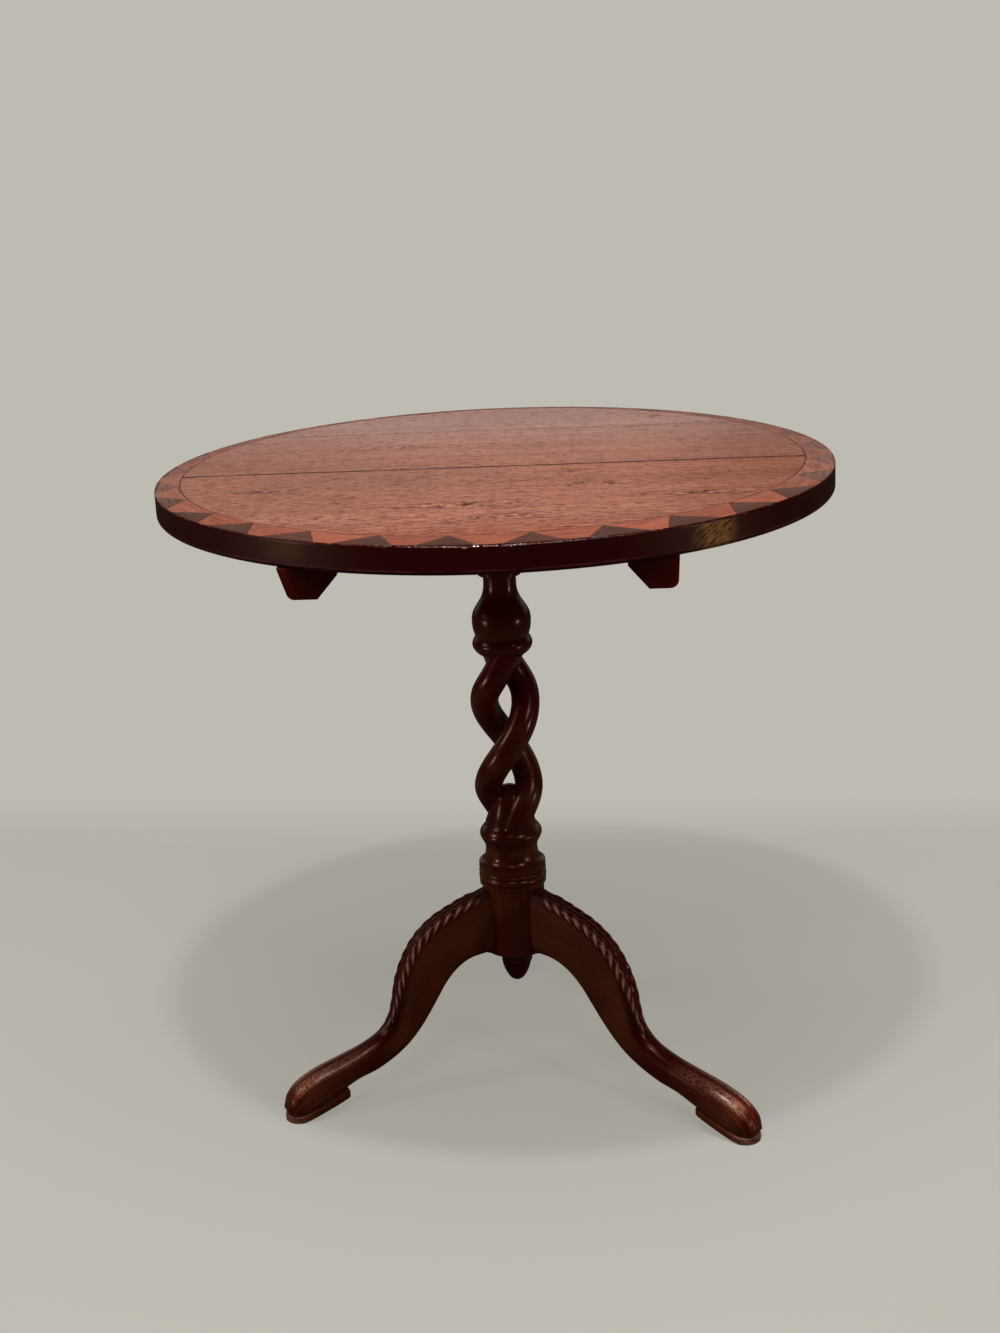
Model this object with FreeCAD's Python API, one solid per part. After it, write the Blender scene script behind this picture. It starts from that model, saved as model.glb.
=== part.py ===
import FreeCAD, Part
import math
import os

os.makedirs("parts", exist_ok=True)
V = FreeCAD.Vector

# Millimetres. +Z is up, the floor is z = 0, the column stands on the Z axis.
# X runs along the boards and the tilting pivots; the front of the table is -Y.

CUT_OVERRUN = 5.0

TABLE_HEIGHT = 690.0
TOP_DIAMETER = 700.0
TOP_THICKNESS = 27.5
BOARD_JOINT_FRONT_Y = -3.0
BOARD_JOINT_BACK_Y = 205.0
RIM_LOWER_ROUND = 4.5

TILE_COUNT = 28
TILE_THICKNESS = 2.6
TILE_FIRST_DEG = 8.3
BORDER_WIDTH = 25.0
# The round inner edge of the border stands off the middle of the top, so the front tiles are the longest.
BORDER_SHIFT_X = -3.0
BORDER_SHIFT_Y = 16.5
DARK_TILE_SHARE = 0.80
TILE_WANDER_DEG = 0.45

BEARER_INNER_X = 132.0
LEFT_BEARER_WIDTH = 55.0
RIGHT_BEARER_WIDTH = 47.0
LEFT_BEARER_SLANT = 12.0
RIGHT_BEARER_SLANT = 2.0
BEARER_HALF_LENGTH = 300.0
BEARER_END_DEPTH = 30.0
BEARER_MID_DEPTH = 38.0
BEARER_MID_HALF = 165.0
BEARER_EDGE_ROUND = 8.0
BEARER_BEVEL_WIDTH = 19.0
BEARER_BEVEL_HEIGHT = 22.0
BEARER_BEVEL_RUN = 178.0
BEARER_BEVEL_STOP = 18.0
BEARER_SCREW_IN = 31.0
BEARER_SCREW_YS = (-225.0, 40.0, 225.0)
BEARER_SCREW_SHANK_R = 2.4
BEARER_SCREW_HEAD_R = 4.8
BEARER_SCREW_HEAD_H = 3.2
BEARER_SCREW_SINK = 8.0
BEARER_SCREW_BITE = 15.0

BLOCK_DEPTH = 38.0
BLOCK_SIDE_GAP = 0.4
BLOCK_BACK_Y = 105.0
BLOCK_CHAMFER = 7.0
PIVOT_Y = -95.0
PIVOT_BELOW_TOP = 19.0
SWING_GAP = 0.3
PIN_R = 8.0
PIN_RUN_CLEARANCE = 0.06
PIN_IN_BLOCK = 40.0
PIN_IN_BEARER = 33.0
PIN_END_GAP = 1.0

TENON_R = 19.0
TENON_SHORT = 0.6
WEDGE_THICK = 5.0
WEDGE_TIP = 1.2
WEDGE_DEPTH = 26.0

CATCH_PLATE_L = 64.0
CATCH_PLATE_W = 50.0
CATCH_PLATE_T = 2.0
CATCH_HOUSING_L = 48.0
CATCH_HOUSING_W = 26.0
CATCH_HOUSING_H = 16.0
CATCH_FRONT_Y = 113.0
BOLT_W = 12.0
BOLT_H = 8.0
BOLT_L = 62.0
BOLT_SLIDE_GAP = 0.1
BOLT_REST_GAP = 2.0
BOLT_TRAVEL = 14.0
KNOB_R = 7.0
KNOB_STEM_R = 3.0
KNOB_STEM_GAP = 0.5
CATCH_PLATE_CORNER = 4.0
CATCH_HOUSING_ROUND = 2.5
KNOB_FROM_BACK = 10.0
KNOB_STAND_OFF = 1.2
CATCH_SCREW_R = 1.6
CATCH_SCREW_HEAD_R = 3.2
CATCH_SCREW_HEAD_H = 1.6
CATCH_SCREW_L = 13.0
CATCH_SCREW_FROM_SIDE = 6.0
CATCH_SCREW_FROM_END = 7.0

KEEPER_W = 52.0
KEEPER_H = 18.0
KEEPER_T = 1.6
KEEPER_SLOT_GAP = 0.5
KEEPER_POCKET_SPARE = 3.0
KEEPER_SCREW_X = 19.0

CAPITAL_R = 46.0
CAPITAL_LIP = 1.0
CAPITAL_EDGE_H = 8.0
CAPITAL_STEP = 5.0
CAPITAL_STEP_H = 2.0
NECK_R = 17.5
BULB_R = 31.5
UPPER_RING_R = 32.2
# Turned runs as (radius, drop below the block): capital, neck to bulb, and the ring.
NECK_FLANGE_R = 22.8
NECK_FLANGE_H = 4.4
CAPITAL_TURNING = ((33.0, 21.5), (26.2, 34.0), (NECK_FLANGE_R, 45.5))
UPPER_TURNING = (
    (NECK_R, 51.5), (NECK_R, 58.5), (18.0, 66.0), (20.4, 74.0),
    (24.8, 81.5), (28.8, 88.0), (31.1, 94.5), (BULB_R, 101.5), (30.5, 110.0), (28.4, 116.5),
)
UPPER_RING = ((31.0, 121.0), (UPPER_RING_R, 125.5), (31.0, 130.0), (28.0, 134.0))
TWIST_DROP = 140.5
# (radius, drop below the top of the twist) and (radius, rise above its bottom) of its turned ends.
TWIST_TOP_END = (
    (24.8, -4.0), (22.0, -1.5), (20.0, 3.0), (18.5, 8.0), (15.5, 13.0), (9.0, 17.5), (0.0, 19.5),
)
TWIST_BOTTOM_END = ((0.0, 40.0), (10.0, 37.0), (17.0, 29.0), (21.0, 18.0), (24.5, 6.0), (27.0, 0.0))
STRAND_R = 15.2
STRAND_HELIX_R = 22.0
STRAND_RUN_IN = 9.0
STRAND_TOP_HELIX_R = 15.5
STRAND_BOTTOM_HELIX_R = 15.5
STRAND_DRAW_IN = 42.0
STRAND_POINTS = 33
TWIST_PITCH = 198.0
TWIST_FRONT_RISE = 85.0
LOWER_RING_R = 34.0
WAIST_R = 28.6
COLLAR_R = 36.5
COLLAR_HEIGHT = 24.0
COLLAR_FOOT_R = 36.6
COLLAR_FOOT_H = 3.2
# (radius, rise above the collar): from the twist down over the ring and the waist.
LOWER_RISE = 48.0
LOWER_TURNING = (
    (28.2, 43.5), (31.5, 39.5), (LOWER_RING_R, 33.0), (31.5, 26.5), (WAIST_R, 20.0), (WAIST_R, 13.0),
    (29.8, 7.0), (32.6, 2.2),
)
COLLAR_BAND_H = 6.2
# (radius, drop below the collar's top) of the two beads.
COLLAR_BEADS = (
    ((35.1, 7.4), (36.9, 10.0), (35.1, 12.6)),
    ((35.1, 12.6), (37.1, 16.3), (35.1, 20.0)),
)
PILLAR_R = 34.0

PENDANT_R = 19.5
PENDANT_LENGTH = 41.5
PENDANT_FLANGE = 3.0
# (radius, drop below the flange's top).
PENDANT_TURNING = (
    (17.2, 5.0), (15.8, 8.5), (16.4, 13.0), (16.1, 18.0), (14.4, 25.0), (11.2, 32.5), (6.8, 38.6),
    (0.0, PENDANT_LENGTH),
)
PENDANT_TENON_R = 8.0
PENDANT_TENON_L = 24.0
PENDANT_TENON_SPARE = 1.0

LEFT_LEG_REACH = 279.0
RIGHT_LEG_REACH = 314.0
BACK_LEG_REACH = 300.0
LEG_REACH = {"left": LEFT_LEG_REACH, "right": RIGHT_LEG_REACH, "back": BACK_LEG_REACH}
LEG_AZIMUTH = {"left": -154.5, "right": -36.0, "back": 92.5}
LEG_HALF_WIDTH = 12.5
LEG_ROOT_R = 40.0
# Along a leg from the pillar to the toe: (radius, height) of its upper edge and of its lower edge.
LEG_UPPER_EDGE = (
    (24.0, 225.0), (50.0, 216.5), (75.0, 208.0), (101.0, 197.0), (123.0, 180.0), (139.0, 158.0),
    (149.0, 135.0), (154.0, 113.0), (160.5, 94.0), (174.5, 78.5), (197.0, 67.5), (225.0, 59.0),
    (252.0, 51.5), (274.0, 42.0), (287.0, 30.0), (292.0, 19.0),
)
LEG_LOWER_EDGE = (
    (24.0, 148.5), (40.0, 148.5), (60.0, 145.5), (76.5, 136.5), (90.0, 123.0), (101.0, 107.0),
    (112.5, 90.0), (125.5, 74.0), (141.0, 59.5), (160.0, 47.5), (182.0, 38.5), (208.0, 33.0),
    (240.0, 20.0), (267.0, 8.0), (283.5, 4.0), (291.0, 5.0),
)
# At the same places: the width as a share of LEG_HALF_WIDTH, how square the upper half of the section is, and
# how square the lower half.
LEG_WIDTH_SHARE = (
    1.00, 1.00, 1.02, 1.04, 1.05, 1.04, 1.02, 1.02, 1.04, 1.09, 1.16, 1.26, 1.36, 1.36, 1.16, 0.72,
)
LEG_SQUARE_POWER = (5.0, 5.0, 4.6, 4.2, 3.8, 3.4, 3.0, 2.8, 2.7, 2.6, 2.6, 2.6, 2.6, 2.5, 2.4, 2.2)
LEG_UNDER_POWER = (5.0, 5.0, 4.6, 4.2, 3.8, 3.4, 3.0, 2.8, 2.7, 2.6, 2.8, 3.6, 5.0, 5.6, 5.0, 4.0)
LEG_UNDER_COLLAR = 1.0
PILLAR_BELOW_LEG = 1.5
DOVETAIL_DEPTH = 12.0
DOVETAIL_NECK = 12.0
DOVETAIL_FLARE = 17.0
DOVETAIL_BELOW_COLLAR = 15.0
DOVETAIL_CLEARANCE = 0.05
KEY_OVERRUN = 0.5
PAD_THICKNESS = 11.0
PAD_HEEL_LIFT = 17.0
PAD_FLAT_FROM_TOE = 15.0
PAD_HEEL_FROM_TOE = 71.0
PAD_HALF_WIDTH_HEEL = 14.5
PAD_HEEL_ROUND = 4.0
PAD_HALF_WIDTH_TOE = 17.5
PAD_WIDEST_FROM_TOE = 22.0
PAD_NOSE_FROM_TOE = 8.0
PAD_NOSE_HALF_WIDTH = 13.8
PAD_SIDE_BULGE = 0.8
PAD_PAST_LEG = 1.0

TOP_R = TOP_DIAMETER / 2.0
TOP_Z = TABLE_HEIGHT
UNDER_Z = TOP_Z - TOP_THICKNESS
BORDER_R = TOP_R - BORDER_WIDTH
PIVOT_Z = UNDER_Z - PIVOT_BELOW_TOP
BLOCK_BOTTOM_Z = UNDER_Z - BLOCK_DEPTH
BLOCK_HALF_X = BEARER_INNER_X - BLOCK_SIDE_GAP
BLOCK_ROUND_R = PIVOT_BELOW_TOP - SWING_GAP
BLOCK_FRONT_Y = PIVOT_Y - BLOCK_ROUND_R
BOLT_Z = UNDER_Z - CATCH_PLATE_T - CATCH_HOUSING_H / 2.0
BOLT_TIP_Y = BLOCK_BACK_Y + BOLT_REST_GAP
LEG_STATION_REACH = LEG_UPPER_EDGE[-1][0] + PAD_PAST_LEG
COLLAR_BOTTOM_Z = LEG_UPPER_EDGE[0][1] + LEG_UNDER_COLLAR
COLLAR_TOP_Z = COLLAR_BOTTOM_Z + COLLAR_HEIGHT
PILLAR_BOTTOM_Z = LEG_LOWER_EDGE[0][1] - PILLAR_BELOW_LEG
DOVETAIL_TOP_Z = COLLAR_BOTTOM_Z - DOVETAIL_BELOW_COLLAR
TWIST_TOP_Z = BLOCK_BOTTOM_Z - TWIST_DROP
TWIST_BOTTOM_Z = COLLAR_TOP_Z + LOWER_RISE
TWIST_FRONT_Z = TWIST_BOTTOM_Z + TWIST_FRONT_RISE


def save(name, shape):
    shape.exportStep("parts/%s.step" % name)


def box(x0, x1, y0, y1, z0, z1):
    return Part.makeBox(x1 - x0, y1 - y0, z1 - z0, V(x0, y0, z0))


def rod(radius, start, end):
    return Part.makeCylinder(radius, (end - start).Length, start, end - start)


def polygon_face(points):
    return Part.Face(Part.makePolygon(list(points) + [points[0]]))


def through(points):
    curve = Part.BSplineCurve()
    curve.interpolate(points)
    return curve.toShape()


def turned(segments):
    """Solid of revolution from runs of (radius, z): two points are a line, more are a smooth curve."""
    edges = []
    for run in segments:
        points = [V(r, 0, z) for r, z in run]
        if len(points) == 2:
            edges.append(Part.makeLine(points[0], points[1]))
        else:
            edges.append(through(points))
    first = segments[0][0]
    last = segments[-1][-1]
    edges.append(Part.makeLine(V(last[0], 0, last[1]), V(first[0], 0, first[1])))
    face = Part.Face(Part.Wire(edges))
    return face.revolve(V(0, 0, 0), V(0, 0, 1), 360)


def screw(tip, head_top, shank_r, head_r, head_h):
    """Countersunk slotted screw from the flat of its head to its pointed tip."""
    way = (tip - head_top).normalize()
    length = (tip - head_top).Length
    point_l = shank_r * 2.0
    head = Part.makeCone(head_r, shank_r, head_h, head_top, way)
    shank = Part.makeCylinder(shank_r, length - head_h - point_l, head_top + way * head_h, way)
    point = Part.makeCone(shank_r, shank_r * 0.15, point_l, head_top + way * (length - point_l), way)
    body = head.fuse([shank, point]).removeSplitter()
    side = way.cross(V(0.31, 0.77, 0.55)).normalize()
    across = way.cross(side)
    slot_half = head_r * 0.14
    corners = []
    for a, b in ((-1.3, -1), (1.3, -1), (1.3, 1), (-1.3, 1)):
        corners.append(head_top + side * (a * head_r) + across * (b * slot_half))
    slot = polygon_face(corners).extrude(way * (head_h * 0.4))
    return body.cut(slot)


def screw_hole(tip, head_top, shank_r, head_r, head_h):
    """The hole that the screw fills, open at the head."""
    way = (tip - head_top).normalize()
    length = (tip - head_top).Length
    point_l = shank_r * 2.0
    head = Part.makeCone(head_r, shank_r, head_h, head_top, way)
    shank = Part.makeCylinder(shank_r, length - head_h - point_l, head_top + way * head_h, way)
    point = Part.makeCone(shank_r, shank_r * 0.15, point_l, head_top + way * (length - point_l), way)
    return head.fuse([shank, point])


def bearer_bottom_z(y):
    """Underside of a bearer: level in the middle, rising towards each end."""
    run = (abs(y) - BEARER_MID_HALF) / (BEARER_HALF_LENGTH - BEARER_MID_HALF)
    rise = max(0.0, run) * (BEARER_MID_DEPTH - BEARER_END_DEPTH)
    return UNDER_Z - BEARER_MID_DEPTH + rise


def bearer_screw_ends():
    """Head and tip of each bearer screw, for both bearers."""
    ends = []
    for side in (-1, 1):
        x = side * (BEARER_INNER_X + BEARER_SCREW_IN)
        for y in BEARER_SCREW_YS:
            head = V(x, y, bearer_bottom_z(y) + BEARER_SCREW_SINK)
            ends.append((V(x, y, UNDER_Z + BEARER_SCREW_BITE), head))
    return ends


def catch_screw_ends():
    """Head and tip of each screw of the catch's plate."""
    ends = []
    middle_y = CATCH_FRONT_Y + CATCH_PLATE_L / 2.0
    for dx in (-1, 1):
        for dy in (-1, 1):
            x = dx * (CATCH_PLATE_W / 2.0 - CATCH_SCREW_FROM_SIDE)
            y = middle_y + dy * (CATCH_PLATE_L / 2.0 - CATCH_SCREW_FROM_END)
            head = V(x, y, UNDER_Z - CATCH_PLATE_T)
            ends.append((head + V(0, 0, CATCH_SCREW_L), head))
    return ends


def keeper_screw_ends():
    """Head and tip of each screw of the keeper plate."""
    ends = []
    for side in (-1, 1):
        head = V(side * KEEPER_SCREW_X, BLOCK_BACK_Y, BOLT_Z)
        ends.append((head - V(0, CATCH_SCREW_L, 0), head))
    return ends


def bearer_hole(tip, head):
    args = (BEARER_SCREW_SHANK_R, BEARER_SCREW_HEAD_R, BEARER_SCREW_HEAD_H)
    sink = rod(BEARER_SCREW_HEAD_R, head - V(0, 0, BEARER_SCREW_SINK + CUT_OVERRUN), head)
    return screw_hole(tip, head, *args).fuse(sink)


def small_hole(tip, head):
    return screw_hole(tip, head, CATCH_SCREW_R, CATCH_SCREW_HEAD_R, CATCH_SCREW_HEAD_H)


def top_disc():
    """The whole top before it is divided into boards, with the border's rebate and the screw holes."""
    lower = Part.makeCylinder(TOP_R, TOP_THICKNESS - TILE_THICKNESS, V(0, 0, UNDER_Z))
    rim_edges = [e for e in lower.Edges if abs(e.BoundBox.ZMax - UNDER_Z) < 1e-6]
    lower = lower.makeFillet(RIM_LOWER_ROUND, rim_edges)
    field = V(BORDER_SHIFT_X, BORDER_SHIFT_Y, TOP_Z - TILE_THICKNESS)
    upper = Part.makeCylinder(BORDER_R, TILE_THICKNESS, field)
    disc = lower.fuse(upper).removeSplitter()
    holes = [bearer_hole(tip, head) for tip, head in bearer_screw_ends()]
    holes += [small_hole(tip, head) for tip, head in catch_screw_ends()]
    return disc.cut(holes)


def make_boards():
    disc = top_disc()
    far = TOP_R + CUT_OVERRUN
    low = UNDER_Z - CUT_OVERRUN
    high = TOP_Z + CUT_OVERRUN
    cuts = (
        ("top_board_front", -far, BOARD_JOINT_FRONT_Y),
        ("top_board_middle", BOARD_JOINT_FRONT_Y, BOARD_JOINT_BACK_Y),
        ("top_board_back", BOARD_JOINT_BACK_Y, far),
    )
    for name, y0, y1 in cuts:
        save(name, disc.common(box(-far, far, y0, y1, low, high)))


def rim_radius(degrees):
    return TOP_R


def border_radius(degrees):
    """Distance from the middle of the top to the inner edge of the border, along one direction."""
    a = math.radians(degrees)
    along = BORDER_SHIFT_X * math.cos(a) + BORDER_SHIFT_Y * math.sin(a)
    across = BORDER_SHIFT_Y * math.cos(a) - BORDER_SHIFT_X * math.sin(a)
    return along + math.sqrt(BORDER_R ** 2 - across ** 2)


def on_edge(radius, degrees, z):
    a = math.radians(degrees)
    return V(radius(degrees) * math.cos(a), radius(degrees) * math.sin(a), z)


def arc_edge(radius, a0, a1, z):
    points = [on_edge(radius, a, z) for a in (a0, (a0 + a1) / 2.0, a1)]
    return Part.Arc(*points).toShape()


def make_tiles():
    """Dark triangles with their bases on the rim, light ones between them. Each tip wanders a little."""
    pitch = 360.0 / TILE_COUNT
    half = pitch * DARK_TILE_SHARE / 2.0
    z = TOP_Z - TILE_THICKNESS
    tips = []
    for i in range(TILE_COUNT):
        tips.append(TILE_FIRST_DEG + i * pitch + TILE_WANDER_DEG * math.sin(2.4 * i + 0.7))
    dark = []
    light = []
    for i in range(TILE_COUNT):
        middle = TILE_FIRST_DEG + i * pitch
        tip = on_edge(border_radius, tips[i], z)
        start = on_edge(rim_radius, middle - half, z)
        end = on_edge(rim_radius, middle + half, z)
        edges = [arc_edge(rim_radius, middle - half, middle + half, z)]
        edges.append(Part.makeLine(end, tip))
        edges.append(Part.makeLine(tip, start))
        dark.append(Part.Face(Part.Wire(edges)).extrude(V(0, 0, TILE_THICKNESS)))
        next_tip_a = tips[(i + 1) % TILE_COUNT]
        if i == TILE_COUNT - 1:
            next_tip_a += 360.0
        next_start_a = middle + pitch - half
        next_start = on_edge(rim_radius, next_start_a, z)
        edges = [arc_edge(rim_radius, middle + half, next_start_a, z)]
        edges.append(Part.makeLine(next_start, on_edge(border_radius, next_tip_a, z)))
        edges.append(arc_edge(border_radius, next_tip_a, tips[i], z))
        edges.append(Part.makeLine(tip, end))
        light.append(Part.Face(Part.Wire(edges)).extrude(V(0, 0, TILE_THICKNESS)))
    save("border_dark_tiles", Part.makeCompound(dark))
    save("border_light_tiles", Part.makeCompound(light))


def bearer_bevel(end):
    """Cutter for the inner lower edge of the right bearer, from one end (-1 front, 1 back) to its stop."""
    w = BEARER_BEVEL_WIDTH
    h = BEARER_BEVEL_HEIGHT
    high = UNDER_Z - BEARER_END_DEPTH + h
    stop = BEARER_HALF_LENGTH - BEARER_BEVEL_RUN
    rows = ((BEARER_HALF_LENGTH + CUT_OVERRUN, 0.0), (stop + BEARER_BEVEL_STOP, 0.0), (stop, 2.0))
    wires = []
    for y, away in rows:
        x = BEARER_INNER_X - away * w
        z = high - away * h
        low = V(x - w, end * y, z - 2.0 * h)
        corners = [V(x - w, end * y, z + h), low, V(x + 2.0 * w, end * y, z - 2.0 * h)]
        wires.append(Part.makePolygon(corners + [corners[0]]))
    return Part.makeLoft(wires, True, True)


def bearer_blank(width, slant):
    """A right-hand bearer without its holes; its outer side leans in by the slant at the bottom."""
    ys = (-BEARER_HALF_LENGTH, -BEARER_MID_HALF, BEARER_MID_HALF, BEARER_HALF_LENGTH)
    x0 = BEARER_INNER_X
    x1 = x0 + width
    outline = [V(x0, ys[0], UNDER_Z)]
    outline += [V(x0, y, bearer_bottom_z(y)) for y in ys]
    outline.append(V(x0, ys[3], UNDER_Z))
    blank = polygon_face(outline).extrude(V(width, 0, 0))
    low = UNDER_Z - BEARER_MID_DEPTH
    wedge = polygon_face([V(x1, ys[0], UNDER_Z), V(x1 + slant, ys[0], low), V(x1 - slant, ys[0], low)])
    blank = blank.cut(wedge.extrude(V(0, 2.0 * BEARER_HALF_LENGTH, 0)))
    outer = []
    for e in blank.Edges:
        b = e.BoundBox
        if b.ZMax < UNDER_Z - BEARER_END_DEPTH + 1e-6 and b.YLength > 1.0 and b.XMin > x0 + width / 2.0:
            outer.append(e)
    blank = blank.makeFillet(BEARER_EDGE_ROUND, outer)
    return blank.cut([bearer_bevel(-1), bearer_bevel(1)])


def make_bearers():
    x0 = BEARER_INNER_X
    right = bearer_blank(RIGHT_BEARER_WIDTH, RIGHT_BEARER_SLANT)
    left = bearer_blank(LEFT_BEARER_WIDTH, LEFT_BEARER_SLANT).mirror(V(0, 0, 0), V(1, 0, 0))
    screw_holes = [bearer_hole(tip, head) for tip, head in bearer_screw_ends()]
    bore_r = PIN_R + PIN_RUN_CLEARANCE
    deep = PIN_IN_BEARER + PIN_END_GAP
    for name, bearer, side in (("bearer_left", left, -1), ("bearer_right", right, 1)):
        mouth = V(side * (x0 - 1.0), PIVOT_Y, PIVOT_Z)
        bore = rod(bore_r, mouth, V(side * (x0 + deep), PIVOT_Y, PIVOT_Z))
        save(name, bearer.cut(screw_holes + [bore]))
    screws = []
    for tip, head in bearer_screw_ends():
        screws.append(screw(tip, head, BEARER_SCREW_SHANK_R, BEARER_SCREW_HEAD_R, BEARER_SCREW_HEAD_H))
    save("bearer_screws", Part.makeCompound(screws))


def make_block():
    half = BLOCK_HALF_X
    z0 = BLOCK_BOTTOM_Z
    z1 = UNDER_Z
    body = box(-half, half, PIVOT_Y, BLOCK_BACK_Y, z0, z1)
    edges = []
    for e in body.Edges:
        b = e.BoundBox
        if b.ZMax < z0 + 1e-6 and b.YMax > BLOCK_BACK_Y - 1e-6 and b.XLength > 1.0:
            edges.append(e)
        if b.ZMax < z0 + 1e-6 and b.YLength > 1.0:
            edges.append(e)
    body = body.makeChamfer(BLOCK_CHAMFER, edges)
    nose = rod(BLOCK_ROUND_R, V(-half, PIVOT_Y, PIVOT_Z), V(half, PIVOT_Y, PIVOT_Z))
    chin = box(-half, half, BLOCK_FRONT_Y, PIVOT_Y, z0, PIVOT_Z)
    chin_edges = [e for e in chin.Edges if e.BoundBox.ZMax < z0 + 1e-6 and e.BoundBox.YLength > 1.0]
    chin = chin.makeChamfer(BLOCK_CHAMFER, chin_edges)
    body = body.fuse([nose, chin]).removeSplitter()
    cuts = [rod(TENON_R, V(0, 0, z0 - 1.0), V(0, 0, z1 + 1.0))]
    for side in (-1, 1):
        end = V(side * (half + 1.0), PIVOT_Y, PIVOT_Z)
        cuts.append(rod(PIN_R, V(side * (half - PIN_IN_BLOCK), PIVOT_Y, PIVOT_Z), end))
    w = KEEPER_W / 2.0
    h = KEEPER_H / 2.0
    cuts.append(box(-w, w, BLOCK_BACK_Y - KEEPER_T, BLOCK_BACK_Y + 1.0, BOLT_Z - h, BOLT_Z + h))
    pocket_y = BOLT_TIP_Y - BOLT_TRAVEL - KEEPER_POCKET_SPARE
    pw = BOLT_W / 2.0 + KEEPER_SLOT_GAP
    ph = BOLT_H / 2.0 + KEEPER_SLOT_GAP
    cuts.append(box(-pw, pw, pocket_y, BLOCK_BACK_Y, BOLT_Z - ph, BOLT_Z + ph))
    cuts += [small_hole(tip, head) for tip, head in keeper_screw_ends()]
    save("pivot_block", body.cut(cuts))

    pins = []
    for side in (-1, 1):
        inner = V(side * (half - PIN_IN_BLOCK), PIVOT_Y, PIVOT_Z)
        outer = V(side * (BEARER_INNER_X + PIN_IN_BEARER), PIVOT_Y, PIVOT_Z)
        pin = rod(PIN_R, inner, outer)
        ends = [e for e in pin.Edges if abs(abs(e.BoundBox.Center.x) - abs(outer.x)) < 1e-6]
        pins.append(pin.makeChamfer(1.2, ends))
    save("pivot_pin_left", pins[0])
    save("pivot_pin_right", pins[1])

    keeper = box(-w, w, BLOCK_BACK_Y - KEEPER_T, BLOCK_BACK_Y, BOLT_Z - h, BOLT_Z + h)
    slot = box(-pw, pw, BLOCK_BACK_Y - KEEPER_T - 1.0, BLOCK_BACK_Y + 1.0, BOLT_Z - ph, BOLT_Z + ph)
    keeper = keeper.cut([slot] + [small_hole(tip, head) for tip, head in keeper_screw_ends()])
    save("keeper_plate", keeper)
    screws = []
    for tip, head in keeper_screw_ends():
        screws.append(screw(tip, head, CATCH_SCREW_R, CATCH_SCREW_HEAD_R, CATCH_SCREW_HEAD_H))
    save("keeper_screws", Part.makeCompound(screws))


def make_catch():
    w = CATCH_PLATE_W / 2.0
    y0 = CATCH_FRONT_Y
    plate = box(-w, w, y0, y0 + CATCH_PLATE_L, UNDER_Z - CATCH_PLATE_T, UNDER_Z)
    corners = [e for e in plate.Edges if e.BoundBox.ZLength > 1.0]
    plate = plate.makeFillet(CATCH_PLATE_CORNER, corners)
    hw = CATCH_HOUSING_W / 2.0
    hz = UNDER_Z - CATCH_PLATE_T - CATCH_HOUSING_H
    hy0 = y0 + (CATCH_PLATE_L - CATCH_HOUSING_L) / 2.0
    hy1 = hy0 + CATCH_HOUSING_L
    housing = box(-hw, hw, hy0, hy1, hz, UNDER_Z - CATCH_PLATE_T)
    rounds = [e for e in housing.Edges if abs(e.BoundBox.ZMax - hz) < 1e-6]
    housing = housing.makeFillet(CATCH_HOUSING_ROUND, rounds)
    body = plate.fuse(housing).removeSplitter()
    cw = BOLT_W / 2.0 + BOLT_SLIDE_GAP
    ch = BOLT_H / 2.0 + BOLT_SLIDE_GAP
    channel = box(-cw, cw, y0 - CUT_OVERRUN, y0 + CATCH_PLATE_L + CUT_OVERRUN, BOLT_Z - ch, BOLT_Z + ch)
    knob_y = hy1 - KNOB_FROM_BACK
    sw = KNOB_STEM_R + KNOB_STEM_GAP
    slot = box(-sw, sw, knob_y - BOLT_TRAVEL - sw, knob_y + sw, hz - 1.0, BOLT_Z)
    holes = [small_hole(tip, head) for tip, head in catch_screw_ends()]
    save("catch_housing", body.cut([channel, slot] + holes))

    bar = box(-BOLT_W / 2.0, BOLT_W / 2.0, BOLT_TIP_Y, BOLT_TIP_Y + BOLT_L,
              BOLT_Z - BOLT_H / 2.0, BOLT_Z + BOLT_H / 2.0)
    nose = [e for e in bar.Edges if abs(e.BoundBox.YMax - BOLT_TIP_Y) < 1e-6]
    bar = bar.makeChamfer(1.0, nose)
    stem_top = V(0, knob_y, BOLT_Z + BOLT_H * 0.2)
    stem_low = V(0, knob_y, hz - KNOB_STAND_OFF - KNOB_R * 0.4)
    bar = bar.cut(rod(KNOB_STEM_R, V(0, knob_y, BOLT_Z - BOLT_H), stem_top))
    save("catch_bolt", bar)
    stem = rod(KNOB_STEM_R, stem_low, stem_top)
    ball_z = hz - KNOB_R - KNOB_STAND_OFF
    ball = Part.makeSphere(KNOB_R, V(0, knob_y, ball_z))
    save("catch_knob", stem.fuse(ball).removeSplitter())
    screws = []
    for tip, head in catch_screw_ends():
        screws.append(screw(tip, head, CATCH_SCREW_R, CATCH_SCREW_HEAD_R, CATCH_SCREW_HEAD_H))
    save("catch_screws", Part.makeCompound(screws))


def eased(share):
    """0 to 1 with a soft start and end."""
    t = max(0.0, min(1.0, share))
    return t * t * (3.0 - 2.0 * t)


def helix_radius(z):
    """Distance of a strand from the column's axis: drawn in towards both turned ends."""
    top = eased((TWIST_TOP_Z - z) / STRAND_DRAW_IN) * (STRAND_HELIX_R - STRAND_TOP_HELIX_R)
    bottom = eased((z - TWIST_BOTTOM_Z) / STRAND_DRAW_IN) * (STRAND_HELIX_R - STRAND_BOTTOM_HELIX_R)
    return min(STRAND_TOP_HELIX_R + top, STRAND_BOTTOM_HELIX_R + bottom)


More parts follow.
